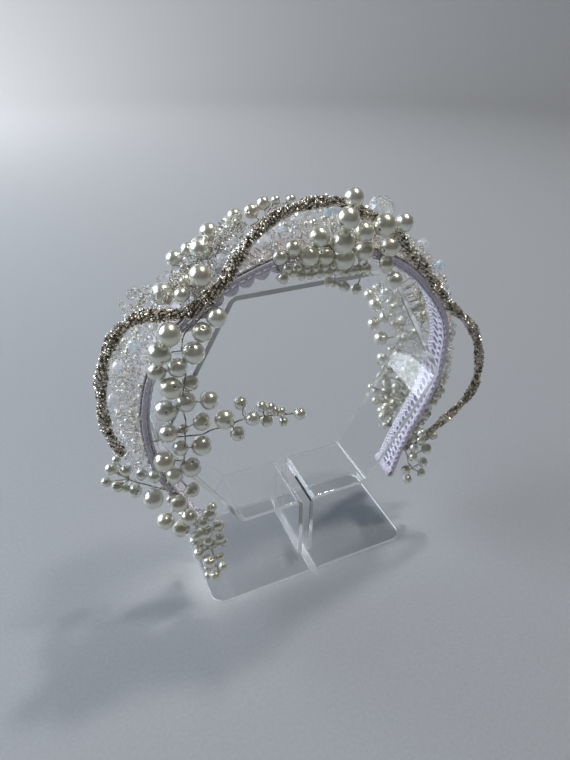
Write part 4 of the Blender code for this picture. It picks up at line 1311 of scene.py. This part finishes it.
def lining_braid(material):
    """A woven ground, two rows of scrolls, lengthwise cords, scalloped edges and rolled ends."""
    front, back = BRAID_FRONT + GROUND_INSET, BRAID_BACK - GROUND_INSET
    ground = rounded_section(BRAID_GROUND, BRAID_HEIGHT, front, back, GROUND_CORNER)
    shapes = [swept_strip(band_run(GROUND_STEP), ground)]
    # The ground takes tint 0, painted shade between the cords.
    tints = [0.0]
    for row in SCROLLS:
        shapes.append(tube(scroll_cord(*row), CORD, 6))
        tints.append(0.9)
    for row in KNITTED:
        shapes.append(tube(knitted_cord(*row), KNIT_CORD, 6))
        tints.append(1.0)
    for row in EDGES:
        shapes.append(tube(edge_cord(EDGE_START, BRAID_LENGTH - EDGE_START, *row), EDGE_CORD, 6))
        tints.append(0.8)
    first, last = (math.radians(angle - BRAID_START) * LEG_REACH for angle in SCALLOP_ANGLES)
    for out, drop in SCALLOPS:
        route = edge_cord(first, last, SCALLOP_DEPTH, out, SCALLOP_HEIGHT, drop, SCALLOP_PITCH)
        shapes.append(tube(route, EDGE_CORD, 6))
        tints.append(1.0)
    for run in (ROLL_INSET, BRAID_LENGTH - ROLL_INSET):
        rolls = rolled_end(run)
        shapes += rolls
        tints += [0.75] * len(rolls)
    mesh_piece("lining_braid", shapes, material, tints, replaced=["braid_lining"])


# Crystals


def bed_outline(angle):
    """Points round the bed's front, outside and back at an angle, as (reach, depth)."""
    back, outer = bed_limits(angle)
    outer -= BED_CROWN
    bottom = course_reach(angle, BED_FRONT) + BED_BOTTOM
    return np.array((
        (bottom, BED_FRONT - 0.2), (outer - 2.4, BED_FRONT + 1.0), (outer - 1.0, BED_FRONT + 2.6),
        (outer, (BED_FRONT + back) / 2), (outer - 1.0, back - 2.6), (outer - 2.4, back - 1.2),
        (bottom, back - 1.3),
    ))


def crystal_bed(name, chart, stones, seed, materials, wires):
    """A thick bed of small cut beads on fine wires, with the charted stones standing out of it."""
    draw = np.random.default_rng(seed)
    cuts = (faceted_bead(0.95, 7), faceted_bead(0.75, 7), bicone(7), faceted_bead(1.25, 6))
    pearl = drilled_ball(12, 7, SEED_PEARL_HOLE)
    shapes, tints, pearls, pearl_tints, hubs = [], [], [], [], []
    first, last = chart[-1][0], chart[0][0]
    rows = int(math.radians(last - first) * BED_MIDDLE / BEAD_SPACING)
    for row in range(rows):
        middle = first + (last - first) * (row + 0.5) / rows
        loop = resampled(bed_outline(middle), BEAD_SPACING)
        shift = draw.uniform(-0.3, 0.3)
        for number, (reach, depth) in enumerate(loop):
            angle = middle + draw.uniform(-0.5, 0.5) * BEAD_SPACING / 1.3 + 0.6 * shift
            height = reach - loop[0][0]
            if draw.uniform() < min(height / (loop[:, 0].max() - loop[0][0]), 1.0) * OUTER_GAPS:
                continue
            size = draw.choice(BED_SIZES, p=BED_SHARES)
            place = band_place(
                angle, reach - size * 0.18 + draw.uniform(-0.8, 0.6), depth + draw.uniform(-0.7, 0.7),
            )
            axis = draw.normal(size=3)
            near_end = angle < END_PEARL_ANGLE
            if draw.uniform() < (END_PEARL_SHARE if near_end else SEED_PEARL_SHARE):
                pearls.append(put(pearl, place, size + (END_PEARL_GROWTH if near_end else 0.0), axis))
                pearl_tints.append(draw.uniform())
            else:
                cut = cuts[draw.integers(len(cuts))]
                shapes.append(put(cut, place, size, axis, draw.uniform(0, math.tau)))
                tints.append(draw.uniform())
            if number % 3 == row % 3:
                root = over_band(angle, BED_BOTTOM, min(max(depth, BED_FRONT + 1), BAND_BACK))
                hubs.append((place, root))
    mesh_piece(
        name + "_beads", shapes, materials["crystal"], tints, smooth=False, replaced=[name],
    )
    mesh_piece(name + "_seed_pearls", pearls, materials["pearl"], pearl_tints)
    shapes, tints = [], []
    for angle, reach, depth, size in stones:
        axis = draw.normal(size=3)
        place = band_place(angle, reach - STONE_SINK, depth)
        shapes.append(put(faceted_bead(0.85, 8), place, size * STONE_SCALE, axis, draw.uniform(0, math.tau)))
        tints.append(draw.uniform())
    mesh_piece(name + "_stones", shapes, materials["stone"], tints, smooth=False)
    for place, root in hubs:
        middle = (root + place) / 2 + draw.uniform(-0.4, 0.4, 3)
        wires.append(tube([root, middle, place], ROOT_GAUGE, 4))


def bead_cloud(name, chart, count, scatter, seed, materials, wires):
    """Small clear beads on loops of wire, scattered round a charted route."""
    draw = np.random.default_rng(seed)
    cuts = (faceted_bead(0.95, 7), faceted_bead(0.75, 7), bicone(7))
    route = smooth_route([ring_place(*row) for row in chart], 1.0)
    shapes, tints = [], []
    for _ in range(count):
        middle = route[draw.integers(len(route))]
        place = middle + draw.normal(size=3) * scatter
        size = draw.choice(CLOUD_SIZES, p=CLOUD_SHARES)
        shapes.append(put(cuts[draw.integers(len(cuts))], place, size, draw.normal(size=3)))
        tints.append(draw.uniform())
        if draw.uniform() < LOOP_SHARE:
            wires.append(tube(sagging(middle, place, draw.normal(size=3)), LOOP_GAUGE, 4))
    mesh_piece(name, shapes, materials["crystal"], tints, smooth=False)
    wires += twisted_pair(swaying(route, draw), TWIG_GAUGE)


def crown_crystal(material):
    """The large round cut bead beside the crown pearls."""
    angle, reach, depth, size = CROWN_CRYSTAL
    place = ring_place(angle, reach, depth)
    bead = put(faceted_bead(1.1, 11), place, size * CROWN_BEAD_GROWTH, (1.0, 0.3, 0.35), 0.2)
    mesh_piece("cut_crown_bead", [bead], material, smooth=False, replaced=["crown_crystal"])


# Bead rope


def seed_bead_rope(material):
    """Seed beads in rows that wind along the rope's route, over its two twisted lobes."""
    draw = np.random.default_rng(ROPE_SEED)
    route = resampled(smooth_route(rope_rows(), 1.0), SEED_STEP)
    along, across, up = frames_along(route[:, :3])
    bead = seed_bead()
    shapes, tints = [], []
    for number, row in enumerate(route):
        run = number * SEED_STEP
        for place in range(ROPE_BEADS_ROUND):
            share = (place + 0.5 * (number % 2)) / ROPE_BEADS_ROUND
            turn = math.tau * share + math.tau * run / (2 * ROPE_PITCH)
            lobe = 1 - ROPE_LOBE + ROPE_LOBE * math.cos(2 * (turn - math.pi * run / ROPE_PITCH))
            radius = row[3] / 2 * lobe - SEED_SIZE * SEED_SINK + draw.uniform(-0.22, 0.22)
            outward = math.cos(turn) * across[number] + math.sin(turn) * up[number]
            tangent = np.cross(along[number], outward)
            spot = row[:3] + radius * outward + along[number] * draw.uniform(-0.25, 0.25)
            axis = along[number] + 0.5 * tangent + draw.normal(size=3) * 0.45
            size = SEED_SIZE * draw.uniform(0.82, 1.12)
            shapes.append(put(bead, spot, size, axis, draw.uniform(0, math.tau)))
            tints.append(draw.uniform() ** 0.75)
    # A dark core fills the gaps between the beads, as painted shade in them.
    shapes.append(tube(route[::3, :3], route[::3, 3] / 2 * ROPE_CORE, 8))
    tints.append(0.1)
    mesh_piece(
        "seed_bead_rope", shapes, material, tints, smooth=False, replaced=["bead_rope"],
    )


# Pearl sprays


def cradle(place, size, axis, toward):
    """The wire that comes out of both holes and hugs the pearl down to its twig."""
    reach = size / 2
    shapes = []
    for side in (1.0, -1.0):
        route = []
        for share in np.linspace(0.0, 1.0, 6):
            turn = share * math.pi / 2
            direction = unit(side * axis * math.cos(turn) + toward * math.sin(turn))
            rise = CRADLE_LIFT / reach * math.sin(math.pi * min(share + 0.25, 1.0))
            lift = 0.75 if share == 0 else 1.0 + rise
            route.append(place + direction * reach * lift)
        shapes.append(tube(route, CRADLE_GAUGE, 4))
    return shapes


def sagging(start, end, bend):
    """A gentle curve between two places."""
    start, end = np.array(start, float), np.array(end, float)
    middle = (start + end) / 2 + bend
    return smooth_route([start, middle, end], 1.0)


def swaying(route, draw):
    """The route with slow sideways waves, as hand-wound wire has. Its ends stay."""
    marks = np.linspace(0.0, 1.0, len(route))
    waves = sum(
        np.sin(marks[:, None] * count + draw.uniform(0, math.tau, 3)) * draw.normal(size=3) / 2
        for count in (len(route) / 3.0, len(route) / 1.7)
    )
    return route + SWAY * waves * np.sin(math.pi * marks)[:, None]


def has_room(ball, others):
    """Whether an extra pearl sinks into no other by more than a share of its size."""
    place, size = ball
    return all(
        np.linalg.norm(place - other) > (size + other_size) / 2 - MOST_SHARED * size
        for other, other_size in others
    )


def pearl_spray(name, stem, pearls, seed, materials):
    """A spray's pearls, with the twisted stem and twigs that hold them."""
    draw = np.random.default_rng(seed)
    large, small = drilled_ball(28, 16, PEARL_HOLE), drilled_ball(20, 12, PEARL_HOLE)
    route = smooth_route([ring_place(*row) for row in stem], 1.0)
    balls, tints = [], []
    wires = twisted_pair(swaying(route, draw), STEM_GAUGE)
    for place, size in pearls:
        nearest = route[np.linalg.norm(route - place, axis=1).argmin()]
        toward = unit(nearest - place)
        axis = unit(np.cross(toward, draw.normal(size=3)))
        ball = large if size > LARGE_PEARL else small
        balls.append(put(ball, place, size, axis, draw.uniform(0, math.tau)))
        tints.append(draw.uniform())
        wires += cradle(place, size, axis, toward)
        start = place + toward * size / 2
        length = np.linalg.norm(nearest - start)
        if length > LEAST_TWIG:
            bend = draw.normal(size=3) * TWIG_BEND * length
            wires += twisted_pair(sagging(start, nearest, bend), TWIG_GAUGE, draw.uniform(0, math.tau))
            spare = draw.normal(size=3) * SPARE_BEND * length
            wires.append(tube(sagging(start, nearest, spare), SPARE_GAUGE, 4))
    mesh_piece(name + "_pearls", balls, materials["pearl"], tints, replaced=[name])
    mesh_piece(name + "_wires", wires, materials["wire"])


def build():
    make_camera()
    make_stage()
    make_lights()
    materials = {
        "pearl": pearl_material(),
        "wire": wire_material(),
        "rope": rope_material(),
        "crystal": crystal_material(),
        "stone": stone_material(),
        "glass": cut_glass_material(),
        "acrylic": acrylic_material(),
        "braid": braid_material(),
        "band": band_material(),
    }
    display_stand(materials["acrylic"])
    metal_band(materials["band"])
    lining_braid(materials["braid"])
    bed_wires = band_wraps()
    for bed in BEDS:
        crystal_bed(*bed, materials, bed_wires)
    for cloud in CLOUDS:
        bead_cloud(*cloud, materials, bed_wires)
    mesh_piece("bed_wires", bed_wires, materials["wire"])
    crown_crystal(materials["glass"])
    seed_bead_rope(materials["rope"])
    settled = settled_sprays()
    for number, (name, stem, _) in enumerate(SPRAYS):
        extra = [(ring_place(*row[:3]), row[3]) for row in EXTRA_PEARLS[name]]
        extra = [ball for ball in extra if has_room(ball, settled[name])]
        pearl_spray(name, stem, settled[name] + extra, FIRST_SPRAY_SEED + number, materials)


build()
